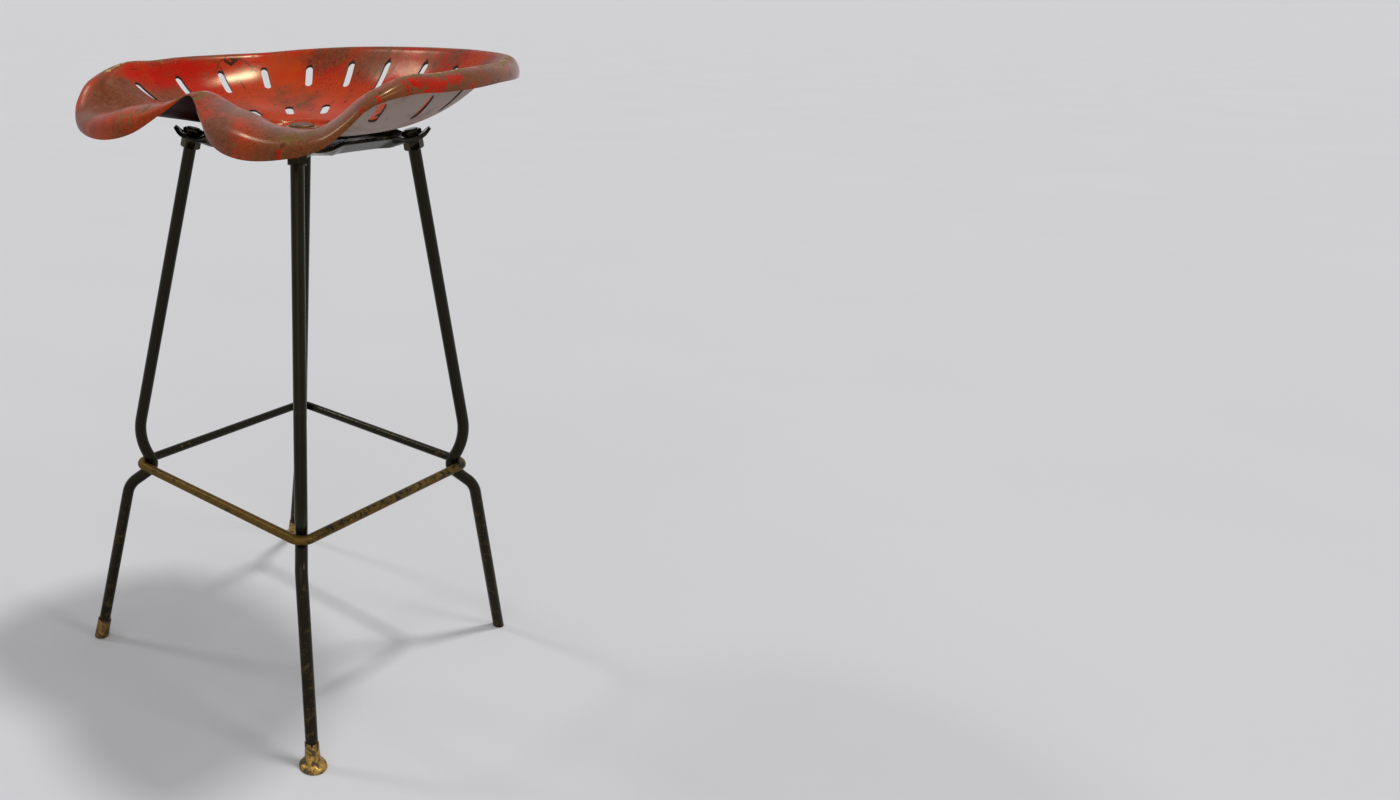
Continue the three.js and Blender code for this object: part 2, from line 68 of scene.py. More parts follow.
Table = tuple[float, ...]
Pair = tuple[float, float]
Triple = tuple[float, float, float]
Colour = tuple[int, int, int]
Value = float | tuple | bpy.types.NodeSocket

# How near two points lie that count as one, and where a piece is bent or turned
CLOSE = 1e-6
CLOSE_WHERE_BENT = 1e-5

BRIGHTEST = 255
RIGHT_ANGLE = 90


# Hand tools


class Bench:
    """The modelling bench: a few of Blender's own operators in the order in which a hand uses them."""

    @staticmethod
    def clear() -> None:
        """Deselects every object."""
        bpy.ops.object.select_all(action="DESELECT")

    @staticmethod
    def take(*pieces: bpy.types.Object) -> None:
        """Selects only the given pieces, the last one active.

        Args:
            pieces: The pieces to work on.
        """
        Bench.clear()
        for piece in pieces:
            piece.select_set(True)
        bpy.context.view_layer.objects.active = pieces[-1]

    @staticmethod
    @contextmanager
    def editing(piece: bpy.types.Object) -> Iterator[None]:
        """Holds a piece in edit mode, all of it selected.

        Args:
            piece: The piece to edit.
        """
        Bench.take(piece)
        bpy.ops.object.mode_set(mode="EDIT")
        bpy.ops.mesh.select_mode(type="VERT")
        bpy.ops.mesh.select_all(action="SELECT")
        yield
        bpy.ops.object.mode_set(mode="OBJECT")

    @staticmethod
    def pick(piece: bpy.types.Object, wanted: Callable[[Vector], bool]) -> None:
        """Selects the points of the piece in edit mode whose place passes a test.

        Args:
            piece: The piece in edit mode.
            wanted: Says of a place whether the point there is picked.
        """
        bpy.ops.mesh.select_all(action="DESELECT")
        points = bmesh.from_edit_mesh(piece.data)
        for point in points.verts:
            point.select = wanted(point.co)
        points.select_flush_mode()
        bmesh.update_edit_mesh(piece.data)

    @staticmethod
    def named(name: str) -> bpy.types.Object:
        """Names the piece just added and puts its place into its mesh.

        Args:
            name: The piece's name.

        Returns:
            The piece, its object at the origin.
        """
        piece = bpy.context.view_layer.objects.active
        piece.name = piece.data.name = name
        return Bench.settle(piece)

    @staticmethod
    def settle(piece: bpy.types.Object) -> bpy.types.Object:
        """Applies where a piece's object stands to its mesh.

        Args:
            piece: The piece to settle.

        Returns:
            The piece, its object at the origin.
        """
        Bench.take(piece)
        bpy.ops.object.transform_apply(location=True, rotation=True, scale=True)
        return piece

    @staticmethod
    def close(piece: bpy.types.Object, distance: float = CLOSE) -> bpy.types.Object:
        """Merges a piece's double points and turns its faces outwards.

        Args:
            piece: The piece to close.
            distance: How near two points are that count as one.

        Returns:
            The closed piece.
        """
        with Bench.editing(piece):
            bpy.ops.mesh.remove_doubles(threshold=distance)
            bpy.ops.mesh.normals_make_consistent(inside=False)
        return piece

    @staticmethod
    def modify(piece: bpy.types.Object, kind: str, **settings: object) -> bpy.types.Object:
        """Adds a modifier to a piece and applies it.

        Args:
            piece: The piece to finish.
            kind: Blender's name of the modifier's type.
            settings: The modifier's settings.

        Returns:
            The finished piece.
        """
        Bench.take(piece)
        modifier = piece.modifiers.new(kind.title(), kind)
        for setting, value in settings.items():
            setattr(modifier, setting, value)
        bpy.ops.object.modifier_apply(modifier=modifier.name)
        return piece

    @staticmethod
    def carve(piece: bpy.types.Object, tool: bpy.types.Object, operation: str = "DIFFERENCE") -> bpy.types.Object:
        """Cuts a piece by a tool, or joins or intersects them, and removes the tool.

        Args:
            piece: The piece that stays.
            tool: The closed shape that is used up.
            operation: What is done with the two.

        Returns:
            The carved piece.
        """
        Bench.modify(piece, "BOOLEAN", operation=operation, solver="EXACT", object=tool, material_mode="TRANSFER")
        bpy.data.objects.remove(tool)
        return piece

    @staticmethod
    def copy(piece: bpy.types.Object, name: str) -> bpy.types.Object:
        """Copies a piece with its own mesh.

        Args:
            piece: The piece to copy.
            name: The copy's name.

        Returns:
            The copy.
        """
        Bench.take(piece)
        bpy.ops.object.duplicate()
        return Bench.named(name)

    @staticmethod
    def joined(pieces: Sequence[bpy.types.Object]) -> bpy.types.Object:
        """Joins pieces into one.

        Args:
            pieces: The pieces to join.

        Returns:
            The last of them, which holds them all.
        """
        Bench.take(*pieces)
        bpy.ops.object.join()
        return bpy.context.view_layer.objects.active

    @staticmethod
    def soften(piece: bpy.types.Object, degrees: float = 35, bevel: float = 0) -> bpy.types.Object:
        """Breaks a piece's sharp edges, if asked, and shades what is left smooth by angle.

        Args:
            piece: The piece to finish.
            degrees: The angle from which an edge counts as sharp.
            bevel: The width of the broken edge, or 0 for none.

        Returns:
            The finished piece.
        """
        if bevel:
            Bench.modify(
                piece, "BEVEL", width=bevel, segments=2, limit_method="ANGLE", angle_limit=math.radians(degrees)
            )
        Bench.take(piece)
        bpy.ops.object.shade_smooth_by_angle(angle=math.radians(degrees))
        return piece

    @staticmethod
    def places(piece: bpy.types.Object) -> np.ndarray:
        """Reads where a piece's points are.

        Args:
            piece: The piece to read.

        Returns:
            The places, a row each.
        """
        flat = np.empty(len(piece.data.vertices) * 3)
        piece.data.vertices.foreach_get("co", flat)
        return flat.reshape(-1, 3)

    @staticmethod
    def move(piece: bpy.types.Object, places: np.ndarray) -> bpy.types.Object:
        """Moves all of a piece's points.

        Args:
            piece: The piece to shape.
            places: Where its points go, a row each.

        Returns:
            The shaped piece.
        """
        piece.data.vertices.foreach_set("co", places.ravel())
        piece.data.update()
        return piece

    @staticmethod
    def mark(piece: bpy.types.Object, name: str, shares: np.ndarray) -> None:
        """Writes a share from 0 to 1 for each point of a piece, for its finish to read."""
        layer = piece.data.attributes.new(name, "FLOAT", "POINT")
        layer.data.foreach_set("value", np.clip(shares, 0, 1).astype(np.float32))


def eased(value: np.ndarray | float, low: float, high: float) -> np.ndarray | float:
    """Returns how far a value has come from low to high, from 0 to 1, eased at both ends."""
    share = np.clip((value - low) / (high - low), 0, 1)
    return share * share * (3 - 2 * share)


def near(value: np.ndarray, middle: np.ndarray | float, spread: float) -> np.ndarray:
    """Returns 1 where a value is at the middle, less away from it, and next to nothing past twice the spread."""
    return np.exp(-(((value - middle) / spread) ** 2))


@dataclass(frozen=True)
class Turning:
    """A piece turned on a lathe, from the rings of its profile."""

    name: str
    profile: Sequence[tuple[float, float]]
    sides: int = 64
    hollow: bool = False

    def make(self) -> bpy.types.Object:
        """Extrudes ring after ring along the profile.

        Returns:
            The closed piece.
        """
        (radius, height), *rest = self.profile
        fill = "NOTHING" if self.hollow else "NGON"
        Bench.clear()
        bpy.ops.mesh.primitive_circle_add(vertices=self.sides, radius=radius, fill_type=fill, location=(0, 0, height))
        piece = Bench.named(self.name)
        with Bench.editing(piece):
            for wider, higher in rest:
                bpy.ops.mesh.extrude_region_move(TRANSFORM_OT_translate={"value": (0, 0, higher - height)})
                grown = wider / radius
                bpy.ops.transform.resize(value=(grown, grown, 1), center_override=(0, 0, higher))
                radius, height = wider, higher
        return Bench.close(piece)


@dataclass(frozen=True)
class BentRod:
    """A round rod bent along straight runs, from the corners where the runs would meet."""

    name: str
    radius: float
    corners: Sequence[Vector]
    bends: Sequence[float]
    loops: bool = False
    sides: int = 28
    steps: int = 10

    def make(self) -> bpy.types.Object:
        """Extrudes the straight runs and spins the bends.

        Returns:
            The closed rod.
        """
        count = len(self.corners)
        first, second = self.corners[0], self.corners[1]
        start = (first + second) / 2 if self.loops else first
        heading = (second - first).normalized()
        Bench.clear()
        bpy.ops.mesh.primitive_circle_add(
            vertices=self.sides, radius=self.radius, fill_type="NOTHING" if self.loops else "NGON",
            location=start, rotation=heading.to_track_quat("Z", "Y").to_euler(),
        )
        piece = Bench.named(self.name)
        here = start
        with Bench.editing(piece):
            for k in range(1, count + 1 if self.loops else count - 1):
                corner, bend = self.corners[k % count], self.bends[k % count]
                onward = (self.corners[(k + 1) % count] - corner).normalized()
                axis = heading.cross(onward).normalized()
                turn = heading.angle(onward)
                begin = corner - heading * (bend * math.tan(turn / 2))
                centre = begin + axis.cross(heading) * bend
                bpy.ops.mesh.extrude_region_move(TRANSFORM_OT_translate={"value": begin - here})
                bpy.ops.mesh.spin(steps=self.steps, angle=-turn, center=centre, axis=axis, use_auto_merge=False)
                here = corner + onward * (bend * math.tan(turn / 2))
                heading = onward
            end = start if self.loops else self.corners[-1]
            bpy.ops.mesh.extrude_region_move(TRANSFORM_OT_translate={"value": end - here})
        return Bench.close(piece, CLOSE_WHERE_BENT)


@dataclass(frozen=True)
class PressedSheet:
    """A sheet pressed into rings round the axis: a flat grid, wrapped, merged and given its thickness."""

    name: str
    thickness: float
    around: int

    def make(self, ring_at: Callable[[np.ndarray, int], np.ndarray], rings: int) -> bpy.types.Object:
        """Presses the sheet.

        Args:
            ring_at: Gives the places of the points at some bearings on one ring, a row each.
            rings: How many rings there are, from the middle out.

        Returns:
            The closed sheet, its underside in the second material slot.
        """
        Bench.clear()
        bpy.ops.mesh.primitive_grid_add(x_subdivisions=self.around, y_subdivisions=rings - 1, size=1)
        piece = Bench.named(self.name)
        flat = Bench.places(piece) + 0.5
        bearings = np.round(flat[:, 0] * self.around) % self.around * (360 / self.around)
        row = np.round(flat[:, 1] * (rings - 1)).astype(int)
        wrapped = np.empty_like(flat)
        for ring in range(rings):
            wrapped[row == ring] = ring_at(bearings[row == ring], ring)
        Bench.close(Bench.move(piece, wrapped), CLOSE_WHERE_BENT)
        with Bench.editing(piece):
            if sum(face.normal.z for face in bmesh.from_edit_mesh(piece.data).faces) < 0:
                bpy.ops.mesh.flip_normals()
        for _ in range(2):
            piece.data.materials.append(None)
        return Bench.modify(
            piece, "SOLIDIFY", thickness=self.thickness, offset=-1, use_even_offset=True, material_offset=1
        )


def rounded_rows(bearings: np.ndarray, reaches: np.ndarray, heights: np.ndarray) -> np.ndarray:
    """Returns places, a row each, from bearings in degrees, reaches from the axis and heights."""
    angles = np.radians(bearings - 90)
    return np.column_stack([reaches * np.cos(angles), reaches * np.sin(angles), heights])


# Finishes


def light_of(colour: Colour) -> tuple[float, float, float, float]:
    """Returns a screen colour as the light that a shader mixes."""
    return (*Color([part / BRIGHTEST for part in colour]).from_srgb_to_scene_linear(), 1.0)


@dataclass(frozen=True)
class Cloud:
    """A cloudy pattern: its clouds' width in metres, and the number, strength and stir of its finer layers."""

    size: float
    layers: float = 3
    strength: float = 0.5
    stir: float = 0


class Mixing:
    """One finish's node tree, mixed a node a call."""

    relief_strength = 0.6

    def __init__(self, name: str) -> None:
        """Starts a material.

        Args:
            name: The material's name.
        """
        self.material = bpy.data.materials.new(name)
        self.material.use_nodes = True
        self.tree = self.material.node_tree
        self.shader = self.tree.nodes["Principled BSDF"]
        self.place = self.node("TexCoord", "Object")

    def feed(self, socket: bpy.types.NodeSocket, value: Value) -> None:
        """Sets or links a socket.

        Args:
            socket: The socket to feed.
            value: A number, a colour, or another node's output.
        """
        if isinstance(value, bpy.types.NodeSocket):
            self.tree.links.new(value, socket)
        else:
            socket.default_value = value

    def node(
        self, kind: str, output: str | int, fed: dict[str | int, Value] | None = None, **settings: object
    ) -> bpy.types.NodeSocket:
        """Adds a node.

        Args:
            kind: Blender's name of the node's type, less the part that all have.
            output: The output that is wanted.
            fed: What goes into which of its inputs.
            settings: The node's settings.

        Returns:
            The wanted output.
        """
        node = self.tree.nodes.new(f"ShaderNode{kind}")
        for setting, value in settings.items():
            setattr(node, setting, value)
        for socket, value in (fed or {}).items():
            self.feed(node.inputs[socket], value)
        return node.outputs[output]

    def reckon(self, operation: str, first: Value, second: Value) -> bpy.types.NodeSocket:
        """Returns the result of a sum on two values, kept from 0 to 1."""
        return self.node("Math", 0, {0: first, 1: second}, operation=operation, use_clamp=True)

    def times(self, first: Value, second: Value) -> bpy.types.NodeSocket:
        """Returns one value times another, kept from 0 to 1."""
        return self.reckon("MULTIPLY", first, second)

    def plus(self, first: Value, second: Value) -> bpy.types.NodeSocket:
        """Returns two values added up, kept from 0 to 1."""
        return self.reckon("ADD", first, second)

    def most(self, first: Value, second: Value) -> bpy.types.NodeSocket:
        """Returns the larger of two values, kept from 0 to 1."""
        return self.reckon("MAXIMUM", first, second)

    def stretched(self, scale: Triple, turn: float = 0) -> bpy.types.NodeSocket:
        """Returns object places, drawn out by shares of each axis after a turn about Z in degrees."""
        return self.node("Mapping", 0, {"Vector": self.place, "Scale": scale, "Rotation": (0, 0, math.radians(turn))})

    def stirred(self, size: float, far: float) -> bpy.types.NodeSocket:
        """Returns object places, each moved up to a distance by a cloudy pattern of a size."""
        moves = self.node("TexNoise", "Color", {"Vector": self.place, "Scale": 1 / size})
        return self.node("VectorMath", 0, {0: moves, 1: (far, far, far), 2: self.place}, operation="MULTIPLY_ADD")

    def noise(self, cloud: Cloud, place: Value | None = None) -> bpy.types.NodeSocket:
        """Mixes a cloudy pattern.

        Args:
            cloud: The pattern.
            place: The places it lies on, if not the piece's own.

        Returns:
            Its share at each place.
        """
        fed = {"Scale": 1 / cloud.size, "Detail": cloud.layers, "Roughness": cloud.strength, "Distortion": cloud.stir}
        fed["Vector"] = self.place if place is None else place
        return self.node("TexNoise", "Fac", fed)

    def dots(self, size: float) -> bpy.types.NodeSocket:
        """Returns how far each place is from the nearest of dots a size apart, as a share of it."""
        return self.node("TexVoronoi", "Distance", {"Vector": self.place, "Scale": 1 / size})

    def cells(self, size: float, place: Value) -> bpy.types.NodeSocket:
        """Returns how far each place is from the edge of a cell, as a share of the cells' size."""
        return self.node("TexVoronoi", "Distance", {"Vector": place, "Scale": 1 / size}, feature="DISTANCE_TO_EDGE")

    def ease(self, value: Value, low: float, high: float) -> bpy.types.NodeSocket:
        """Returns how far a value has come from low to high, from 0 to 1."""
        fed = {"Value": value, "From Min": low, "From Max": high}
        return self.node("MapRange", "Result", fed, interpolation_type="SMOOTHSTEP")

    def mark(self, name: str) -> bpy.types.NodeSocket:
        """Returns a share that was written on the piece's points."""
        return self.node("Attribute", "Fac", attribute_name=name)

    def height(self) -> bpy.types.NodeSocket:
        """Returns the height over the floor."""
        return self.node("SeparateXYZ", "Z", {0: self.place})

    def reach(self) -> bpy.types.NodeSocket:
        """Returns the distance from the swivel axis."""
        return self.node("VectorMath", "Value", {0: self.stretched((1, 1, 0))}, operation="LENGTH")

    def tint(self, share: Value, first: Colour | Value, second: Colour | Value) -> bpy.types.NodeSocket:
        """Returns the first colour turned to the second by a share."""
        first, second = (light_of(colour) if isinstance(colour, tuple) else colour for colour in (first, second))
        return self.node("Mix", 2, {0: share, 6: first, 7: second}, data_type="RGBA")

    def between(self, share: Value, first: Value, second: Value) -> bpy.types.NodeSocket:
        """Returns the first number turned to the second by a share."""
        return self.node("Mix", 0, {0: share, 2: first, 3: second})

    def shine(self, level: float, tint: Colour) -> None:
        """Sets how strongly the surface mirrors, and the colour it mirrors in."""
        self.shader.inputs["Specular IOR Level"].default_value = level
        self.shader.inputs["Specular Tint"].default_value = light_of(tint)

    def done(
        self, colour: Value, roughness: Value, metal: Value = 0.0, relief: Value | None = None, depth: float = 0
    ) -> bpy.types.Material:
        """Feeds the shader.

        Args:
            colour: The surface's colour.
            roughness: Its roughness.
            metal: How far it is bare metal.
            relief: Its relief, from 0 to 1, if it has one.
            depth: The relief's depth in metres.

        Returns:
            The finished material.
        """
        fed = {"Base Color": colour, "Roughness": roughness, "Metallic": metal}
        if relief is not None:
            bump = {"Strength": self.relief_strength, "Distance": depth, "Height": relief}
            fed["Normal"] = self.node("Bump", "Normal", bump)
        for socket, value in fed.items():
            self.feed(self.shader.inputs[socket], value)
        return self.material


@dataclass(frozen=True)
class SeatPaint:
    """Orange-red paint, redder on the walls, with patina, specks, olive chips, scratches, cracks, and bright crests of
    bare metal with a painted highlight.

    Each edge holds the two shares of a pattern between which its mark sets in.
    """

    name: str = "seat_paint"
    orange: Colour = (180, 56, 16)
    red: Colour = (184, 12, 0)
    disc: Colour = (168, 54, 32)
    patina: Colour = (120, 68, 42)
    dark_patina: Colour = (84, 44, 26)
    speck: Colour = (74, 26, 12)
    roll_brown: Colour = (120, 68, 40)
    olive: Colour = (128, 100, 58)
    dark_olive: Colour = (84, 60, 32)
    crack: Colour = (34, 18, 8)
    # Pale gold of the bright crests: partly bare metal, partly a painted highlight
    glint: Colour = (216, 190, 134)
    shine: float = 0.16
    shine_tint: Colour = (255, 226, 140)
    disc_share: float = 0.6
    red_cloud: Cloud = Cloud(0.07, 5, 0.6, 0.3)
    wall_edge: Pair = (0.36, 0.58)
    stray_edge: Pair = (0.52, 0.7)
    stray_share: float = 0.5
    flake_cloud: Cloud = Cloud(0.016, 7, 0.6, 0.5)
    flake_edge: Pair = (0.6, 0.63)
    island_share: float = 0.1
    stain_cloud: Cloud = Cloud(0.034, 8, 0.6, 0.4)
    stain_cloud_share: float = 0.6
    streak_cloud: Cloud = Cloud(0.008, 6, 0.62, 0.3)
    streak_stretch: Triple = (1, 0.12, 0.3)
    streak_turn: float = 24
    streak_share: float = 0.4
    patina_share: float = 0.42
    clean_share: float = 0.2
    stain_edge: Pair = (0.26, 0.64)
    stain_share: float = 0.9
    tone_cloud: Cloud = Cloud(0.005, 7, 0.7)
    tone_edge: Pair = (0.3, 0.7)
    dense_cloud: Cloud = Cloud(0.04, 5, 0.6)
    dense_edge: Pair = (0.4, 0.62)
    dense_stain_share: float = 0.5
    speck_gap: float = 0.0028
    speck_edge: Pair = (0.34, 0.2)
    speck_share: float = 0.8
    pore_cloud: Cloud = Cloud(0.0024, 3, 0.7)
    pore_edge: Pair = (0.56, 0.66)
    pore_share: float = 0.7
    chip_cloud: Cloud = Cloud(0.009, 9, 0.66, 0.7)
    chip_edge: Pair = (0.7, 0.73)
    wear_share: float = 0.36
    scratch_cloud: Cloud = Cloud(0.007, 2, 0.5, 0.2)
    scratch_stretch: Triple = (1, 0.14, 0.5)
    scratch_turns: Pair = (38, 100)
    scratch_edge: Pair = (0.7, 0.73)
    scratch_share: float = 0.8
    crack_size: float = 0.03
    crack_stir: Pair = (0.016, 0.012)
    crack_edge: Pair = (0.034, 0.02)
    glint_cloud: Cloud = Cloud(0.004, 6, 0.68)
    glint_edge: Pair = (0.72, 0.8)
    glint_share: float = 0.3
    glint_rough: float = 0.3
    glint_metal: float = 0.8
    bare_cloud: Cloud = Cloud(0.006, 6, 0.65)
    bare_rough: float = 0.44
    bare_metal: float = 0.4
    bare_relief: Pair = (0.2, 0.5)
    bare_relief_cloud: Cloud = Cloud(0.003, 4)
    gloss_cloud: Cloud = Cloud(0.02, 5)
    gloss_rough: Pair = (0.12, 0.21)
    stain_rough: float = 0.34
    skin_cloud: Cloud = Cloud(0.003, 3, 0.6)
    skin_relief: Pair = (0.86, 1)
    relief_depth: float = 0.0003

    def painted(self, mix: Mixing) -> bpy.types.NodeSocket:
        """Mixes the paint's own colour: orange, redder on the walls, duller in the disc, flaked on the roll.

        Args:
            mix: The paint's nodes.

        Returns:
            The colour.
        """
        cloud = mix.noise(self.red_cloud)
        walls = mix.times(mix.mark("wall"), mix.ease(cloud, *self.wall_edge))
        walls = mix.plus(walls, mix.times(mix.ease(cloud, *self.stray_edge), self.stray_share))
        colour = mix.tint(walls, self.orange, self.red)
        colour = mix.tint(mix.times(mix.mark("disc"), self.disc_share), colour, self.disc)
        islands = mix.plus(mix.noise(self.flake_cloud), mix.times(mix.mark("islands"), self.island_share))
        flakes = mix.tint(mix.ease(islands, *self.flake_edge), self.roll_brown, self.red)
        return mix.tint(mix.mark("roll"), colour, flakes)

    def brown(self, mix: Mixing) -> bpy.types.NodeSocket:
        """Mixes the patina's share: clouds and streaks, dense where the pan is marked for it.

        Args:
            mix: The paint's nodes.

        Returns:
            The share.
        """
        streaks = mix.noise(self.streak_cloud, mix.stretched(self.streak_stretch, self.streak_turn))
        clouds = mix.times(mix.noise(self.stain_cloud), self.stain_cloud_share)
        stain = mix.plus(clouds, mix.times(streaks, self.streak_share))
        stain = mix.plus(mix.times(mix.mark("patina"), self.patina_share), stain)
        stain = mix.reckon("SUBTRACT", stain, self.clean_share)
        return mix.times(mix.ease(stain, *self.stain_edge), self.stain_share)

    def specked(self, mix: Mixing, brown: bpy.types.NodeSocket) -> bpy.types.NodeSocket:
        """Mixes the share of dark specks and pores, denser in the patina.

        Args:
            mix: The paint's nodes.
            brown: The patina's share.

        Returns:
            The share.
        """
        dense = mix.ease(mix.noise(self.dense_cloud), *self.dense_edge)
        dense = mix.plus(dense, mix.times(brown, self.dense_stain_share))
        specks = mix.times(mix.ease(mix.dots(self.speck_gap), *self.speck_edge), mix.times(dense, self.speck_share))
        pores = mix.ease(mix.noise(self.pore_cloud), *self.pore_edge)
        return mix.most(specks, mix.times(pores, mix.times(dense, self.pore_share)))

    def chipped(self, mix: Mixing) -> bpy.types.NodeSocket:
        """Returns where the paint is chipped off."""
        wear = mix.times(mix.mark("wear"), self.wear_share)
        return mix.ease(mix.plus(wear, mix.noise(self.chip_cloud)), *self.chip_edge)

    def scratched(self, mix: Mixing) -> bpy.types.NodeSocket:
        """Mixes the share of short dark scratches in two directions.

        Args:
            mix: The paint's nodes.

        Returns:
            The share.
        """
        lines = [
            mix.ease(mix.noise(self.scratch_cloud, mix.stretched(self.scratch_stretch, turn)), *self.scratch_edge)
            for turn in self.scratch_turns
        ]
        return mix.times(mix.most(*lines), self.scratch_share)

    def cracked(self, mix: Mixing) -> bpy.types.NodeSocket:
        """Returns where the paint is cracked."""
        edges = mix.cells(self.crack_size, mix.stirred(*self.crack_stir))
        return mix.times(mix.ease(edges, *self.crack_edge), mix.mark("crack"))

    def glinting(self, mix: Mixing) -> bpy.types.NodeSocket:
        """Returns where a crest is bright: partly bare metal, partly a painted highlight."""
        marked = mix.times(mix.mark("glint"), self.glint_share)
        return mix.ease(mix.plus(marked, mix.noise(self.glint_cloud)), *self.glint_edge)

    def mixed(self) -> bpy.types.Material:
        """Mixes the paint for the top of the pan.

        Returns:
            The paint.
        """
        mix = Mixing(self.name)
        brown, bare, glint = self.brown(mix), self.chipped(mix), self.glinting(mix)
        patina = mix.tint(mix.ease(mix.noise(self.tone_cloud), *self.tone_edge), self.dark_patina, self.patina)
        colour = mix.tint(brown, self.painted(mix), patina)
        colour = mix.tint(self.specked(mix, brown), colour, self.speck)
        colour = mix.tint(bare, colour, mix.tint(mix.noise(self.bare_cloud), self.dark_olive, self.olive))
        colour = mix.tint(self.scratched(mix), colour, self.speck)
        colour = mix.tint(self.cracked(mix), colour, self.crack)
        colour = mix.tint(glint, colour, self.glint)
        roughness = mix.between(mix.noise(self.gloss_cloud), *self.gloss_rough)
        for share, rough in ((brown, self.stain_rough), (bare, self.bare_rough), (glint, self.glint_rough)):
            roughness = mix.between(share, roughness, rough)
        skin = mix.between(mix.noise(self.skin_cloud), *self.skin_relief)
        relief = mix.between(bare, skin, mix.between(mix.noise(self.bare_relief_cloud), *self.bare_relief))
        metallic = mix.most(mix.times(bare, self.bare_metal), mix.times(glint, self.glint_metal))
        mix.shine(self.shine, self.shine_tint)
        return mix.done(colour, roughness, metallic, relief, self.relief_depth)


@dataclass(frozen=True)
class UndersidePaint:
    """Dull paint under the pan, greyed by clouds of dust, with near-black painted shade at the front left and round the
    hub.
    """

    name: str = "underside_paint"
    red: Colour = (128, 66, 52)
    grey: Colour = (158, 142, 134)
    dark: Colour = (78, 50, 42)
    # Near-black painted shade at the front left of the underside and round the hub
    painted_shade: Colour = (34, 4, 2)
    shine: float = 0.06
    shine_tint: Colour = (255, 240, 220)
    dust_cloud: Cloud = Cloud(0.05, 6, 0.6, 0.3)
    dust_edge: Pair = (0.3, 0.56)
    dust_shares: Pair = (0.35, 0.95)
    rust_cloud: Cloud = Cloud(0.012, 7, 0.66, 0.5)
    rust_edge: Pair = (0.42, 0.62)
    worn_cloud: Cloud = Cloud(0.014, 7, 0.62, 0.6)
    worn_edge: Pair = (0.62, 0.7)
    worn_share: float = 0.6
    rough: Pair = (0.45, 0.62)
    relief_cloud: Cloud = Cloud(0.004, 5, 0.6)
    relief_depth: float = 0.0003

    def mixed(self) -> bpy.types.Material:
        """Mixes the paint for the underside of the pan.

        Returns:
            The paint.
        """
        mix = Mixing(self.name)
        dust = mix.between(mix.ease(mix.noise(self.dust_cloud), *self.dust_edge), *self.dust_shares)
        rust = mix.ease(mix.noise(self.rust_cloud), *self.rust_edge)
        colour = mix.tint(dust, mix.tint(rust, self.red, self.dark), self.grey)
        worn = mix.times(mix.ease(mix.noise(self.worn_cloud), *self.worn_edge), self.worn_share)
        colour = mix.tint(worn, colour, self.dark)
        # Painted shade: the underside darkened almost to black at the front left and round the hub
        colour = mix.tint(mix.mark("oil"), colour, self.painted_shade)
        mix.shine(self.shine, self.shine_tint)
        return mix.done(
            colour, mix.between(dust, *self.rough), relief=mix.noise(self.relief_cloud), depth=self.relief_depth
        )


@dataclass(frozen=True)
class Metal:
    """A metal with two tones, a grain and dirt, and with a stained edge past a reach from the axis where it has one."""

    name: str
    light: Colour
    dark: Colour
    dirt: Colour
    roughness: float = 0.42
    dirty: float = 0.5
    metallic: float = 0.85
    edge: Colour | None = None
    edge_reach: float = 0
    edge_fade: float = 0.0025
    edge_wander: float = 0.003
    edge_cloud: Cloud = Cloud(0.004, 3)
    tone_cloud: Cloud = Cloud(0.006, 6, 0.62)
    dirt_cloud: Cloud = Cloud(0.009, 7, 0.65, 0.6)
    dirt_edge: Pair = (0.72, 0.82)
    dirt_share: float = 0.4
    dirt_rough: float = 0.6
    dirt_metal: float = 0.4
    grain_cloud: Cloud = Cloud(0.0015, 4, 0.6)
    grain_rough: Pair = (-0.08, 0.1)
    grain_depth: float = 0.0001

    def mixed(self) -> bpy.types.Material:
        """Mixes the metal.

        Returns:
            The metal.
        """
        mix = Mixing(self.name)
        colour = mix.tint(mix.noise(self.tone_cloud), self.dark, self.light)
        dirt = mix.ease(mix.noise(self.dirt_cloud), *(edge - self.dirt_share * self.dirty for edge in self.dirt_edge))
        if self.edge:
            rim = mix.plus(mix.times(mix.noise(self.edge_cloud), self.edge_wander), mix.reach())
            past = mix.ease(rim, self.edge_reach, self.edge_reach + self.edge_fade)
            colour = mix.tint(past, colour, self.edge)
        colour = mix.tint(dirt, colour, self.dirt)
        grain = mix.noise(self.grain_cloud)
        roughness = mix.between(grain, *(self.roughness + more for more in self.grain_rough))
        metallic = mix.between(dirt, self.metallic, self.metallic * self.dirt_metal)
        return mix.done(colour, mix.between(dirt, roughness, self.dirt_rough), metallic, grain, self.grain_depth)


class Wear(Enum):
    """Where black enamel is worn through."""

    LEGS = "legs"
    FRONT_RODS = "front_rods"
    PLATE = "plate"
    CORNERS = "corners"


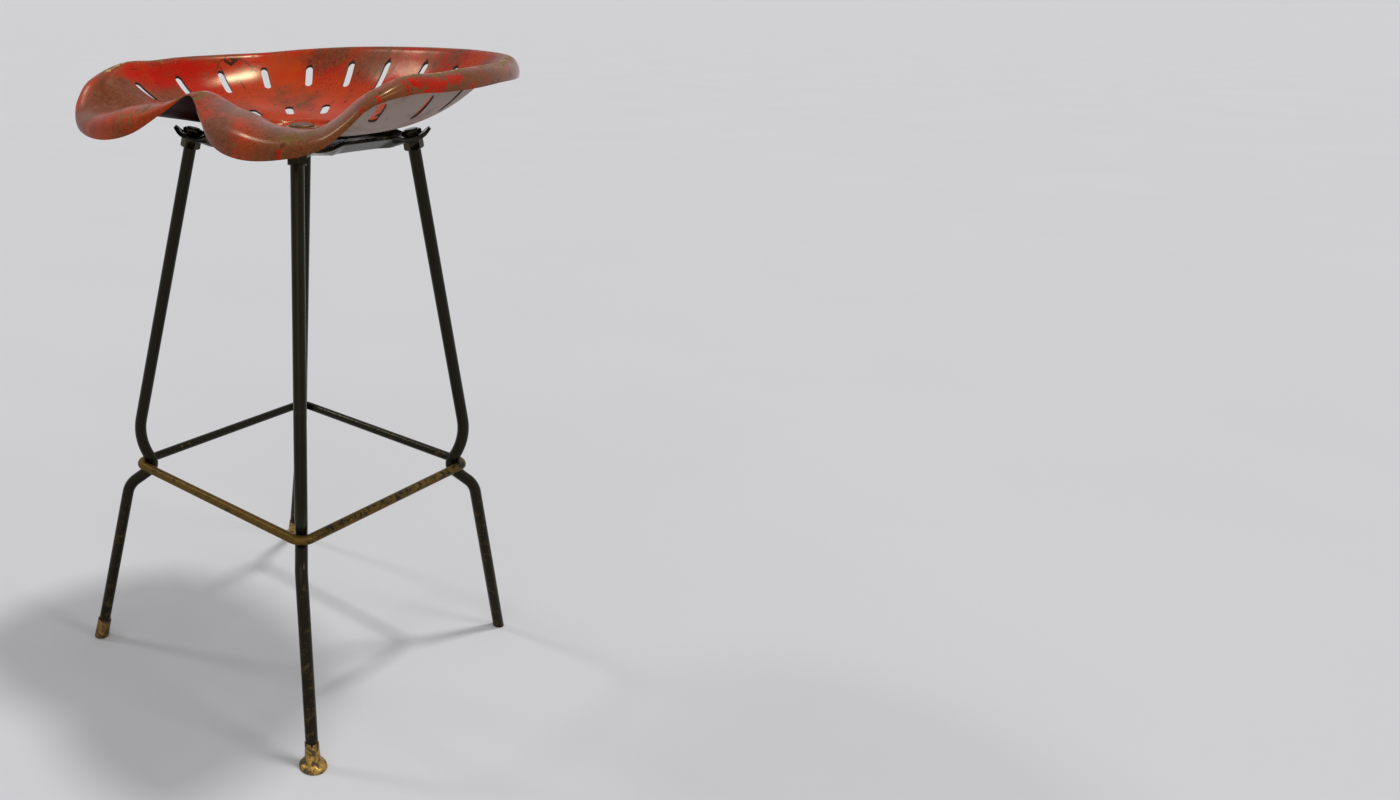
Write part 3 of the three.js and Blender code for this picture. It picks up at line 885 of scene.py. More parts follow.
@dataclass(frozen=True)
class BlackEnamel:
    """Gloss black enamel, worn through to olive-brown steel."""

    wear: Wear
    black: Colour = (8, 8, 6)
    soft_black: Colour = (22, 21, 15)
    brown: Colour = (48, 39, 22)
    gold: Colour = (84, 68, 36)
    shine: float = 0.2
    shine_tint: Colour = (255, 240, 196)
    worn_cloud: Cloud = Cloud(0.009, 7, 0.68, 0.6)
    rod_edge: Pair = (0.62, 0.78)
    plate_edge: Pair = (0.55, 0.66)
    corner_edge: Pair = (0.5, 0.62)
    low_heights: Pair = (0.27, 0.16)
    low_share: float = 0.12
    front_share: float = 0.3
    tone_cloud: Cloud = Cloud(0.03, 5, 0.6)
    steel_cloud: Cloud = Cloud(0.007, 5, 0.6)
    steel_metal: float = 0.6
    steel_relief: Pair = (0.3, 0.6)
    steel_relief_cloud: Cloud = Cloud(0.003, 3)
    rough: Pair = (0.14, 0.24)
    worn_rough: float = 0.42
    relief_depth: float = 0.0002

    def worn(self, mix: Mixing) -> bpy.types.NodeSocket:
        """Mixes how far the enamel is worn through, by where its piece is handled.

        Args:
            mix: The enamel's nodes.

        Returns:
            The share that is worn.
        """
        fine = mix.noise(self.worn_cloud)
        if self.wear is Wear.LEGS:
            low = mix.times(mix.ease(mix.height(), *self.low_heights), self.low_share)
            return mix.ease(mix.plus(low, fine), *self.rod_edge)
        if self.wear is Wear.FRONT_RODS:
            return mix.ease(mix.plus(mix.times(mix.mark("front"), self.front_share), fine), *self.rod_edge)
        return mix.ease(fine, *(self.plate_edge if self.wear is Wear.PLATE else self.corner_edge))

    def mixed(self) -> bpy.types.Material:
        """Mixes the enamel.

        Returns:
            The enamel.
        """
        mix = Mixing(f"black_enamel_{self.wear.value}")
        tone, worn = mix.noise(self.tone_cloud), self.worn(mix)
        steel = mix.tint(mix.noise(self.steel_cloud), self.brown, self.gold)
        colour = mix.tint(worn, mix.tint(tone, self.black, self.soft_black), steel)
        roughness = mix.between(worn, mix.between(tone, *self.rough), self.worn_rough)
        relief = mix.between(worn, 1.0, mix.between(mix.noise(self.steel_relief_cloud), *self.steel_relief))
        mix.shine(self.shine, self.shine_tint)
        return mix.done(colour, roughness, mix.times(worn, self.steel_metal), relief, self.relief_depth)


class Finishes:
    """Every finish of the stool, mixed once."""

    def __init__(self) -> None:
        """Mixes the paints, the metals and the enamels."""
        self.seat = SeatPaint().mixed()
        self.underside = UndersidePaint().mixed()
        # Dark steel of the slots' cut edges, darkened further as painted shade inside the slots
        self.cut_edge = Metal(
            "cut_edge", (70, 50, 34), (34, 22, 16), (30, 18, 12), roughness=0.5, dirty=0.6, metallic=0.3
        ).mixed()
        self.bolt = Metal(
            "bolt_steel", (122, 88, 58), (70, 50, 34), (150, 44, 22), roughness=0.36, dirty=0.45, metallic=0.7
        ).mixed()
        self.washer = Metal(
            "worn_washer", (196, 178, 132), (150, 130, 88), (110, 80, 48), roughness=0.34, dirty=0.35, metallic=0.8,
            edge=(122, 66, 34), edge_reach=0.0178,
        ).mixed()
        self.plated = Metal("dull_plating", (150, 150, 142), (104, 102, 94), (78, 64, 44), roughness=0.4).mixed()
        self.bronze = Metal("oiled_bronze", (150, 112, 62), (98, 70, 36), (50, 38, 24)).mixed()
        self.brass = Metal(
            "worn_brass", (196, 160, 82), (130, 98, 42), (74, 56, 28), roughness=0.36, dirty=0.62
        ).mixed()
        self.old_brass = Metal(
            "old_brass", (154, 122, 62), (100, 76, 38), (70, 48, 28), roughness=0.44, dirty=0.7
        ).mixed()
        self.legs = BlackEnamel(Wear.LEGS).mixed()
        self.ring = BlackEnamel(Wear.FRONT_RODS, brown=(66, 50, 20), gold=(112, 86, 36)).mixed()
        self.plate = BlackEnamel(Wear.PLATE).mixed()
        self.nuts = BlackEnamel(Wear.CORNERS).mixed()


def dress(piece: bpy.types.Object, finishes: Sequence[bpy.types.Material], slot: str, body: str, *nodes: str) -> None:
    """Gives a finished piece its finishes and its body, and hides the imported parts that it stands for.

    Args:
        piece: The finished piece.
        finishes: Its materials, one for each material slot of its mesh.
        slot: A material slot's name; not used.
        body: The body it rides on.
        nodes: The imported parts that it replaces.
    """
    while len(piece.data.materials) < len(finishes):
        piece.data.materials.append(None)
    for index, finish in enumerate(finishes):
        piece.data.materials[index] = finish
    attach(piece, body)
    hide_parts(*nodes)
    log.info("%s: %d faces", piece.name, len(piece.data.polygons))


# Seat


@dataclass(frozen=True)
class Patch:
    """A soft oval patch on the seat, from above: its middle, half length, half width, turn in degrees and strength."""

    x: float
    y: float
    long: float
    wide: float
    turn: float = 0
    strength: float = 1
    fade: Pair = (0.35, 1.15)

    def at(self, places: np.ndarray) -> np.ndarray:
        """Reads the patch.

        Args:
            places: The places to read it at, a row each.

        Returns:
            Its strength at each.
        """
        angle = math.radians(self.turn)
        x, y = places[:, 0] - self.x, places[:, 1] - self.y
        along = (x * math.cos(angle) + y * math.sin(angle)) / self.long
        across = (y * math.cos(angle) - x * math.sin(angle)) / self.wide
        return self.strength * (1 - eased(np.hypot(along, across), *self.fade))


def patched(places: np.ndarray, patches: Sequence[Patch]) -> np.ndarray:
    """Returns the strongest of some patches at each of some places."""
    return np.max([patch.at(places) for patch in patches], axis=0)


@dataclass(frozen=True)
class Outline:
    """One size of the pan that changes with the bearing: shares at some bearings, drawn out evenly."""

    bearings: Table
    shares: Table

    def at(self, bearings: np.ndarray) -> np.ndarray:
        """Reads the outline, which is the same left and right.

        Args:
            bearings: The bearings to read it at.

        Returns:
            The share at each.
        """
        folded = 180 - np.abs(180 - bearings % 360)
        spots, shares = np.array(self.bearings), np.array(self.shares)
        slopes = np.zeros_like(shares)
        slopes[1:-1] = (shares[2:] - shares[:-2]) / (spots[2:] - spots[:-2])
        k = np.clip(np.searchsorted(spots, folded, side="right") - 1, 0, len(spots) - 2)
        run = spots[k + 1] - spots[k]
        t = (folded - spots[k]) / run
        rise = (1 + 2 * t) * (1 - t) ** 2 * shares[k] + t * t * (3 - 2 * t) * shares[k + 1]
        return rise + run * (t * (1 - t) ** 2 * slopes[k] - t * t * (1 - t) * slopes[k + 1])


@dataclass(frozen=True)
class SeatPan:
    """The pressed seat: recessed disc with four arms, bowl, pommel, thigh lobes, rolled rim and two rows of slots."""

    width: float = 0.4655
    height: float = 0.6445
    depth: float = 0.0768
    sheet: float = 0.0022
    roll: float = 0.015
    drop: float = 0.016
    roll_end: float = 100
    squareness: float = 1.1
    crest_round: float = 0.008
    cant: float = 0.0036
    cant_bearing: float = 105
    disc: float = 0.0764
    disc_step: float = 0.003
    recess: float = 0.003
    boss: float = 0.0323
    boss_flank: float = 0.004
    arm_length: float = 0.0685
    arm_width: float = 0.0127
    arm_flank: float = 0.0045
    bore: float = 0.00675
    around: int = 288
    disc_rings: int = 26
    bowl_rings: int = 28
    crest_rings: int = 4
    rim_rings: int = 11
    bearings: Table = (0, 10, 20, 30, 40, 50, 55, 60, 70, 80, 90, 105, 120, 135, 150, 165, 180)
    reach_shares: Table = (
        0.654, 0.712, 0.814, 0.912, 1.008, 1.093, 1.119, 1.107, 1.057,
        1.013, 0.99, 0.973, 0.976, 0.979, 0.92, 0.873, 0.854,
    )
    crest_shares: Table = (
        0.595, 0.51, 0.435, 0.39, 0.29, 0.28, 0.433, 0.657, 0.844, 0.852, 0.88, 0.893, 0.905, 0.95, 0.983, 0.996, 1,
    )
    straight_shares: Table = (
        0, 0, 0, 0, 0, 0.1, 0.3, 0.45, 0.32, 0.315, 0.315, 0.325, 0.34, 0.36, 0.35, 0.31, 0.31,
    )
    powers: Table = (0.63, 0.66, 0.66, 0.63, 0.71, 0.83, 1.12, 2.35, 4.4, 4.4, 4.1, 3.4, 2.95, 2.75, 2.8, 2.95, 2.75)
    roll_shares: Table = (
        1.4, 2.37, 3.18, 3.45, 3.05, 2.28, 1.85, 1.35, 1.05, 1, 1.02, 1.02, 1, 1.02, 1, 1, 1.02,
    )
    drop_shares: Table = (
        0.2, 0.85, 1.85, 2.2, 1.65, 0.97, 0.68, 0.6, 0.95, 1, 1.1, 1.03, 1.1, 1.28, 1.25, 1.12, 1.09,
    )
    outer_slots: Table = (0.682, 0.716, 0.76, 0.77, 0.772, 0.798, 0.844)
    outer_first: float = 9.9
    outer_pitch: float = 17.1
    outer_slot: Pair = (0.0284, 0.0086)
    inner_pairs: int = 6
    inner_first: float = 11.2
    inner_pitch: float = 21.6
    inner_reach: float = 0.1108
    inner_slot: Pair = (0.0245, 0.0098)
    slot_sides: int = 28
    crease: float = 38

    def section(self, bearings: np.ndarray) -> dict[str, np.ndarray]:
        """Works out the sizes of the pan's section.

        Args:
            bearings: The bearings of the section.

        Returns:
            Each size by its name, at each bearing.
        """
        at = {
            name: Outline(self.bearings, shares).at(bearings)
            for name, shares in (
                ("reach", self.reach_shares), ("crest", self.crest_shares), ("straight", self.straight_shares),
                ("power", self.powers), ("roll", self.roll_shares), ("drop", self.drop_shares),
            )
        }
        roll, crest = self.roll * at["roll"], self.depth * at["crest"]
        crest_reach = self.width / 2 * at["reach"] - roll
        run = crest_reach - self.crest_round - self.disc
        steepness = (at["power"] + at["straight"] * (1 - at["power"])) * self.crest_round / (2 * run)
        return at | {
            "roll": roll, "crest": crest, "drop": self.drop * at["drop"], "crest_reach": crest_reach,
            "run": run, "rise": crest / (1 + steepness),
        }

    def raised(self, bearings: np.ndarray, reach: np.ndarray) -> np.ndarray:
        """Works out how far the boss, the arms and the edge stand over the disc.

        Args:
            bearings: The bearings of some places.
            reach: Their distances from the axis.

        Returns:
            Shares of the recess.
        """
        aside = reach * np.sin(np.radians(np.abs(bearings % 90 - 45)))
        boss = eased(reach, self.boss + self.boss_flank, self.boss)
        across = eased(aside, self.arm_width / 2 + self.arm_flank, self.arm_width / 2)
        along = eased(reach, self.arm_length, self.arm_length - self.arm_flank)
        bowl = eased(reach, self.disc - self.disc_step, self.disc)
        return np.maximum(np.maximum(boss, bowl), np.minimum(across, along))

    def ring_at(self, bearings: np.ndarray, ring: int) -> np.ndarray:
        """Places one ring's points, bent up at one side and down at the other.

        Args:
            bearings: The points' bearings.
            ring: The ring's number from the middle out.

        Returns:
            The places, a row each.
        """
        places = self.level_ring_at(bearings, ring)
        share = np.maximum(0, np.hypot(places[:, 0], places[:, 1]) - self.disc) / (self.width / 2 - self.disc)
        places[:, 2] += self.cant * share * np.cos(np.radians(bearings - self.cant_bearing))
        return places

    def level_ring_at(self, bearings: np.ndarray, ring: int) -> np.ndarray:
        """Places one ring's points before the pan is bent: disc, bowl, crest, then rim.

        Args:
            bearings: The points' bearings.
            ring: The ring's number from the middle out.

        Returns:
            The places, a row each.
        """
        size = self.section(bearings)
        if ring < self.disc_rings:
            reach = self.bore + (self.disc - self.bore) * ring / (self.disc_rings - 1)
            heights = self.recess * (self.raised(bearings, np.full_like(bearings, reach)) - 1)
            return rounded_rows(bearings, np.full_like(bearings, reach), self.height + heights)
        ring -= self.disc_rings - 1
        if ring <= self.bowl_rings:
            share = ring / self.bowl_rings
            rise = size["rise"] * (share ** size["power"] * (1 - size["straight"]) + share * size["straight"])
            return rounded_rows(bearings, self.disc + share * size["run"], self.height + rise)
        ring -= self.bowl_rings
        if ring <= self.crest_rings:
            rest = 1 - ring / self.crest_rings
            rise = size["crest"] + (size["rise"] - size["crest"]) * rest * rest
            return rounded_rows(bearings, size["crest_reach"] - rest * self.crest_round, self.height + rise)
        angle = math.radians(self.roll_end) * (ring - self.crest_rings) / self.rim_rings
        fallen = ((1 - math.cos(angle)) / (1 - math.cos(math.radians(self.roll_end)))) ** self.squareness
        reach = size["crest_reach"] + size["roll"] * math.sin(angle)
        return rounded_rows(bearings, reach, self.height + size["crest"] - size["drop"] * fallen)

    def slot_cutter(self, bearing: float, reach: float, size: Pair) -> bpy.types.Object:
        """Draws an upright cutter with round ends out from a cylinder.

        Args:
            bearing: The slot's bearing, along which it lies.
            reach: Its middle's distance from the axis.
            size: Its length and width.

        Returns:
            The cutter.
        """
        length, width = size
        Bench.clear()
        bpy.ops.mesh.primitive_cylinder_add(
            vertices=self.slot_sides, radius=width / 2, depth=2 * self.depth,
            location=(0, 0, self.height + self.depth / 2),
        )
        cutter = Bench.named("slot_cutter")
        for side in (-1, 1):
            with Bench.editing(cutter):
                Bench.pick(cutter, lambda place: place.x * side > 0)
                bpy.ops.transform.translate(value=(side * (length - width) / 2, 0, 0))
        angle = math.radians(bearing - 90)
        cutter.location = (reach * math.cos(angle), reach * math.sin(angle), 0)
        cutter.rotation_euler = (0, 0, angle)
        return Bench.settle(cutter)

    def slot_cutters(self) -> bpy.types.Object:
        """Makes the cutters of both rows of slots.

        Returns:
            All of them as one tool.
        """
        cutters = []
        for side in (-1, 1):
            for k, share in enumerate(self.outer_slots):
                bearing = 180 + side * (self.outer_first + k * self.outer_pitch)
                cutters.append(self.slot_cutter(bearing, self.width / 2 * share, self.outer_slot))
            for k in range(self.inner_pairs):
                bearing = 180 + side * (self.inner_first + k * self.inner_pitch)
                cutters.append(self.slot_cutter(bearing, self.inner_reach, self.inner_slot))
        return Bench.joined(cutters)

    def build(self, finishes: Finishes) -> None:
        """Presses, slots, marks and paints the pan.

        Args:
            finishes: The stool's finishes.
        """
        rings = self.disc_rings + self.bowl_rings + self.crest_rings + self.rim_rings
        pan = PressedSheet("seat_shell", self.sheet, self.around).make(self.ring_at, rings)
        for index, finish in enumerate((finishes.seat, finishes.underside)):
            pan.data.materials[index] = finish
        cutters = self.slot_cutters()
        # The slots' walls take the cut edge finish, dark partly as painted shade
        cutters.data.materials.append(finishes.cut_edge)
        Bench.soften(Bench.carve(pan, cutters), self.crease)
        SeatWear().weathered(pan, self)
        dress(pan, list(pan.data.materials), "seat_paint", "seat", "seat_pan")


@dataclass(frozen=True)
class SeatWear:
    """Where the pan's paint is worn, stained, red, flaked and cracked, where its crest is bright with bare metal and a
    painted highlight, and where painted shade darkens its underside.

    Each glint on the crest, a painted highlight on partly bare metal, is a bearing, its spread and its strength.
    Each fade holds where a mark sets in and where it is full: out from the crest, out from the axis, or by the cosine
    of the angle from a bearing.
    """

    patina: tuple[Patch, ...] = (
        Patch(-0.178, -0.118, 0.062, 0.036, 80),
        Patch(-0.168, -0.155, 0.05, 0.03, 140),
        Patch(-0.168, -0.05, 0.06, 0.03, 85, 0.6),
        Patch(-0.088, -0.135, 0.034, 0.03, 60, 0.9),
        Patch(-0.066, -0.1, 0.04, 0.03, 0, 0.75),
        Patch(-0.13, -0.02, 0.05, 0.03, 80, 0.5),
        Patch(0.062, -0.134, 0.034, 0.024, 10, 1),
        Patch(0.076, -0.182, 0.04, 0.022, 160, 0.95),
        Patch(0.12, -0.14, 0.06, 0.03, 170, 0.55),
        Patch(0.182, -0.045, 0.045, 0.026, 100, 1),
        Patch(0.176, 0.01, 0.06, 0.03, 90, 0.75),
        Patch(0.11, 0.1, 0.06, 0.04, 40, 0.55),
        Patch(-0.05, 0.165, 0.06, 0.02, 10, 0.6),
        Patch(0.02, -0.085, 0.06, 0.014, 5, 0.6),
        Patch(-0.11, 0.09, 0.04, 0.03, 40, 0.5),
        Patch(-0.12, 0.152, 0.05, 0.022, 35, 0.62),
        Patch(0.05, 0.178, 0.06, 0.02, 170, 0.5),
        Patch(0.152, 0.13, 0.05, 0.03, 130, 0.7),
    )
    cracks: tuple[Patch, ...] = (Patch(-0.18, 0.06, 0.036, 0.026, 60),)
    chips: tuple[Patch, ...] = (
        Patch(-0.002, -0.147, 0.028, 0.022, 0, 0.66),
        Patch(-0.06, -0.166, 0.05, 0.012, 24, 0.56),
        Patch(-0.137, -0.15, 0.034, 0.01, 100, 0.4),
        Patch(0.15, -0.052, 0.034, 0.01, 175, 0.6),
        Patch(0.083, -0.086, 0.024, 0.01, 110, 0.6),
        Patch(0.05, -0.118, 0.05, 0.014, 150, 0.25),
        Patch(0.17, -0.16, 0.05, 0.014, 40, 0.55),
        Patch(0.02, 0.13, 0.06, 0.03, 0, 0.4),
        Patch(0.04, -0.17, 0.05, 0.02, 20, 0.25),
    )
    # Painted highlights on the crest, on partly bare metal: bearing, spread and strength
    glints: tuple[Triple, ...] = (
        (222, 14, 1), (165, 12, 0.75), (140, 12, 0.8), (292, 9, 1),
        (78, 16, 0.85), (25, 12, 0.7), (335, 12, 0.6), (0, 7, 0.9),
    )
    glint_out: float = 0.001
    glint_spread: float = 0.004
    front_fade: Pair = (0.3, 0.75)
    front_share: float = 0.8
    lip_out: float = 0.003
    lip_spread: float = 0.008
    lip_wear: float = 0.72
    lip_patina: float = 0.7
    edge_start_share: float = 0.8
    edge_wear: float = 0.24
    edge_patina: float = 0.4
    lobe_out: float = 0.012
    lobe_spread: float = 0.026
    lobe_patina: float = 0.6
    disc_fade: float = 0.001
    disc_edge: float = 0.0016
    disc_edge_wear: float = 0.5
    ridge_wear: float = 1.4
    roll_fade: Pair = (0.004, 0.01)
    painted_roll: float = 341
    painted_roll_fade: Pair = (0.5, 0.66)
    islands: float = 82
    island_spread: float = 16
    wall_fade: Pair = (-0.055, -0.02)
    # Painted shade under the pan: its bearing, its fades to the sides and out from the axis, and its fade round the hub
    oil: float = 305
    shade_side_fade: Pair = (0.1, 0.6)
    shade_reach_fade: Pair = (0.2, 0.17)
    shaded_hub_fade: Pair = (0.09, 0.06)

    def toward(self, bearings: np.ndarray, middle: float, fade: Pair) -> np.ndarray:
        """Returns how far some bearings lie towards a middle one."""
        return eased(np.cos(np.radians(bearings - middle)), *fade)

    def weathered(self, pan: bpy.types.Object, shape: SeatPan) -> None:
        """Marks the wear on the pan's points, for its finishes to read.

        Args:
            pan: The finished pan.
            shape: Its sizes.
        """
        places = Bench.places(pan)
        bearings = np.degrees(np.arctan2(places[:, 0], -places[:, 1])) % 360
        reach = np.hypot(places[:, 0], places[:, 1])
        size, raised = shape.section(bearings), shape.raised(bearings, reach)
        out = reach - size["crest_reach"]
        front = self.toward(bearings, 0, self.front_fade)
        behind = 1 - self.front_share * front
        lip = near(out, self.lip_out, self.lip_spread) * behind
        edge = eased(out, self.edge_start_share * size["roll"], size["roll"]) * front
        lobes = near(out, self.lobe_out, self.lobe_spread) * front
        inside = eased(reach, shape.disc + self.disc_fade, shape.disc - self.disc_fade)
        disc_edge = near(reach, shape.disc, self.disc_edge)
        ridges = raised * (1 - raised) * inside
        bright = sum(strength * near(bearings, bearing, spread) for bearing, spread, strength in self.glints)
        painted = self.toward(bearings, self.painted_roll, self.painted_roll_fade)
        # Painted shade under the pan at the front left
        painted_shade = self.toward(bearings, self.oil, self.shade_side_fade) * eased(reach, *self.shade_reach_fade)
        marks = {
            "wear": np.max([
                lip * self.lip_wear, edge * self.edge_wear, disc_edge * self.disc_edge_wear,
                ridges * self.ridge_wear, patched(places, self.chips),
            ], axis=0),
            # Painted highlight along the crest, on partly bare metal
            "glint": near(out, self.glint_out, self.glint_spread) * bright,
            "wall": eased(out, *self.wall_fade) * behind,
            "disc": inside,
            "roll": eased(out, *self.roll_fade) * (1 - painted),
            "islands": near(bearings, self.islands, self.island_spread),
            "patina": np.max([
                patched(places, self.patina), lip * self.lip_patina, lobes * self.lobe_patina,
                edge * self.edge_patina,
            ], axis=0),
            "crack": patched(places, self.cracks),
            # Painted shade under the pan, at the front left and round the hub
            "oil": np.maximum(painted_shade, eased(reach, *self.shaded_hub_fade)),
        }
        for name, shares in marks.items():
            Bench.mark(pan, name, shares)


@dataclass(frozen=True)
class CentreStack:
    """The bolt, its washer, and the races, bearing and nut of the swivel."""

    seat: float = 0.6445
    seat_sheet: float = 0.0022
    plate_top: float = 0.631
    plate_thickness: float = 0.0035
    gap: float = 0.0003
    bolt: float = 0.00635
    bore: float = 0.00675
    head: float = 0.014
    head_height: float = 0.0042
    head_edge: float = 0.0012
    washer: float = 0.0191
    washer_height: float = 0.001
    race: float = 0.021
    race_height: float = 0.002
    bearing: float = 0.019
    bearing_height: float = 0.007
    clamp: float = 0.018
    clamp_height: float = 0.0025
    nut_height: float = 0.011
    nut_across: float = 0.01905
    proud: float = 0.003
    pitch: float = 0.0018
    thread_depth: float = 0.0006
    dome_step: int = 10
    crown_share: float = 0.04
    broken_edge: float = 0.0003
    bolt_sides: int = 64
    ring_sides: int = 72
    bolt_crease: float = 50

    @property
    def clamp_bottom(self) -> float:
        """The height of the clamp washer's lower face."""
        return self.plate_top - self.plate_thickness - self.clamp_height

    def disc(self, name: str, outer: float, bottom: float, height: float) -> bpy.types.Object:
        """Turns a flat ring round the bolt and breaks its edges.

        Args:
            name: The ring's name.
            outer: Its outer radius.
            bottom: The height of its lower face.
            height: Its thickness.

        Returns:
            The ring.
        """
        top = bottom + height
        rings = ((self.bore, bottom), (outer, bottom), (outer, top), (self.bore, top), (self.bore, bottom))
        return Bench.soften(Turning(name, rings, self.ring_sides, hollow=True).make(), bevel=self.broken_edge)

    def bolt_profile(self) -> list[tuple[float, float]]:
        """Lists the bolt's rings: threaded end, shank, head and dome.

        Returns:
            Each ring's radius and height.
        """
        end = self.clamp_bottom - self.gap - self.nut_height - self.proud
        rings = [(self.bolt - self.thread_depth, end)]
        height = end + self.pitch / 2
        while height < self.plate_top:
            rings += [(self.bolt, height), (self.bolt - self.thread_depth, height + self.pitch / 2)]
            height += self.pitch
        head = self.seat + self.washer_height
        rings += [(self.bolt, height), (self.bolt, head), (self.head, head), (self.head, head + self.head_edge)]
        dome = self.head_height - self.head_edge
        for degrees in range(self.dome_step, RIGHT_ANGLE, self.dome_step):
            angle = math.radians(degrees)
            rings.append((self.head * math.cos(angle), head + self.head_edge + dome * math.sin(angle)))
        rings.append((self.head * self.crown_share, head + self.head_height))
        return rings

    def build(self, finishes: Finishes) -> None:
        """Turns the stack's pieces and dresses them.

        Args:
            finishes: The stool's finishes.
        """
        bolt = Turning("bolt_with_head", self.bolt_profile(), self.bolt_sides).make()
        dress(Bench.soften(bolt, self.bolt_crease), [finishes.bolt], "bare_steel", "seat", "centre_bolt")
        washer = self.disc("worn_washer", self.washer, self.seat, self.washer_height)
        dress(washer, [finishes.washer], "bare_steel", "seat", "seat_washer")
        under_seat = self.seat - self.seat_sheet - self.race_height
        upper = self.disc("race_under_seat", self.race, under_seat, self.race_height)
        dress(upper, [finishes.plated], "plated_steel", "seat", "upper_race")
        lower = self.disc("race_on_plate", self.race, self.plate_top, self.race_height)
        dress(lower, [finishes.plated], "plated_steel", "base", "lower_race")
        bearing = self.disc("bearing_ring", self.bearing, self.plate_top + self.race_height, self.bearing_height)
        dress(bearing, [finishes.bronze], "bronze", "base", "swivel_bearing")
        clamp = self.disc("washer_under_plate", self.clamp, self.clamp_bottom, self.clamp_height)
        dress(clamp, [finishes.plated], "plated_steel", "base", "clamp_washer")
        nut = HexNut(self.nut_across, self.bore, self.nut_height).make("nut_on_bolt")
        nut.location.z = self.clamp_bottom - self.gap - self.nut_height
        dress(Bench.settle(nut), [finishes.plated], "plated_steel", "seat", "lock_nut")


@dataclass(frozen=True)
class HexNut:
    """A hexagonal nut that stands on its own axis from height 0 up, with its corners turned off."""

    across: float
    bore: float
    height: float
    chamfer: float = 0.0011
    chamfer_run_share: float = 1.7
    face_inset: float = 0.0002
    broken_edge: float = 0.0002
    crease: float = 25
    turn: float = 30
    blank_sides: int = 48
    bore_sides: int = 40

    def make(self, name: str) -> bpy.types.Object:
        """Makes the nut: a hexagon, cut by a turned blank and drilled.

        Args:
            name: The nut's name.

        Returns:
            The nut.
        """
        corner = self.across / math.sqrt(3)
        Bench.clear()
        bpy.ops.mesh.primitive_cylinder_add(
            vertices=6, radius=corner, depth=self.height, location=(0, 0, self.height / 2),
            rotation=(0, 0, math.radians(self.turn)),
        )
        nut = Bench.named(name)
        face = self.across / 2 - self.face_inset
        side = face + self.chamfer * self.chamfer_run_share
        rings = ((face, 0), (side, self.chamfer), (side, self.height - self.chamfer), (face, self.height))
        Bench.carve(nut, Turning("blank", rings, self.blank_sides).make(), "INTERSECT")
        drill = Turning("drill", ((self.bore, -self.height), (self.bore, 2 * self.height)), self.bore_sides).make()
        return Bench.soften(Bench.carve(nut, drill), self.crease, self.broken_edge)


# Base


class Foot(Enum):
    """What a leg stands on."""

    GLIDE = "glide"
    CAP = "cap"
    BARE = "bare"


@dataclass(frozen=True)
class Corner:
    """One corner of the base: its name, its bearing before the base is turned, and its foot."""

    name: str
    bearing: float
    foot: Foot


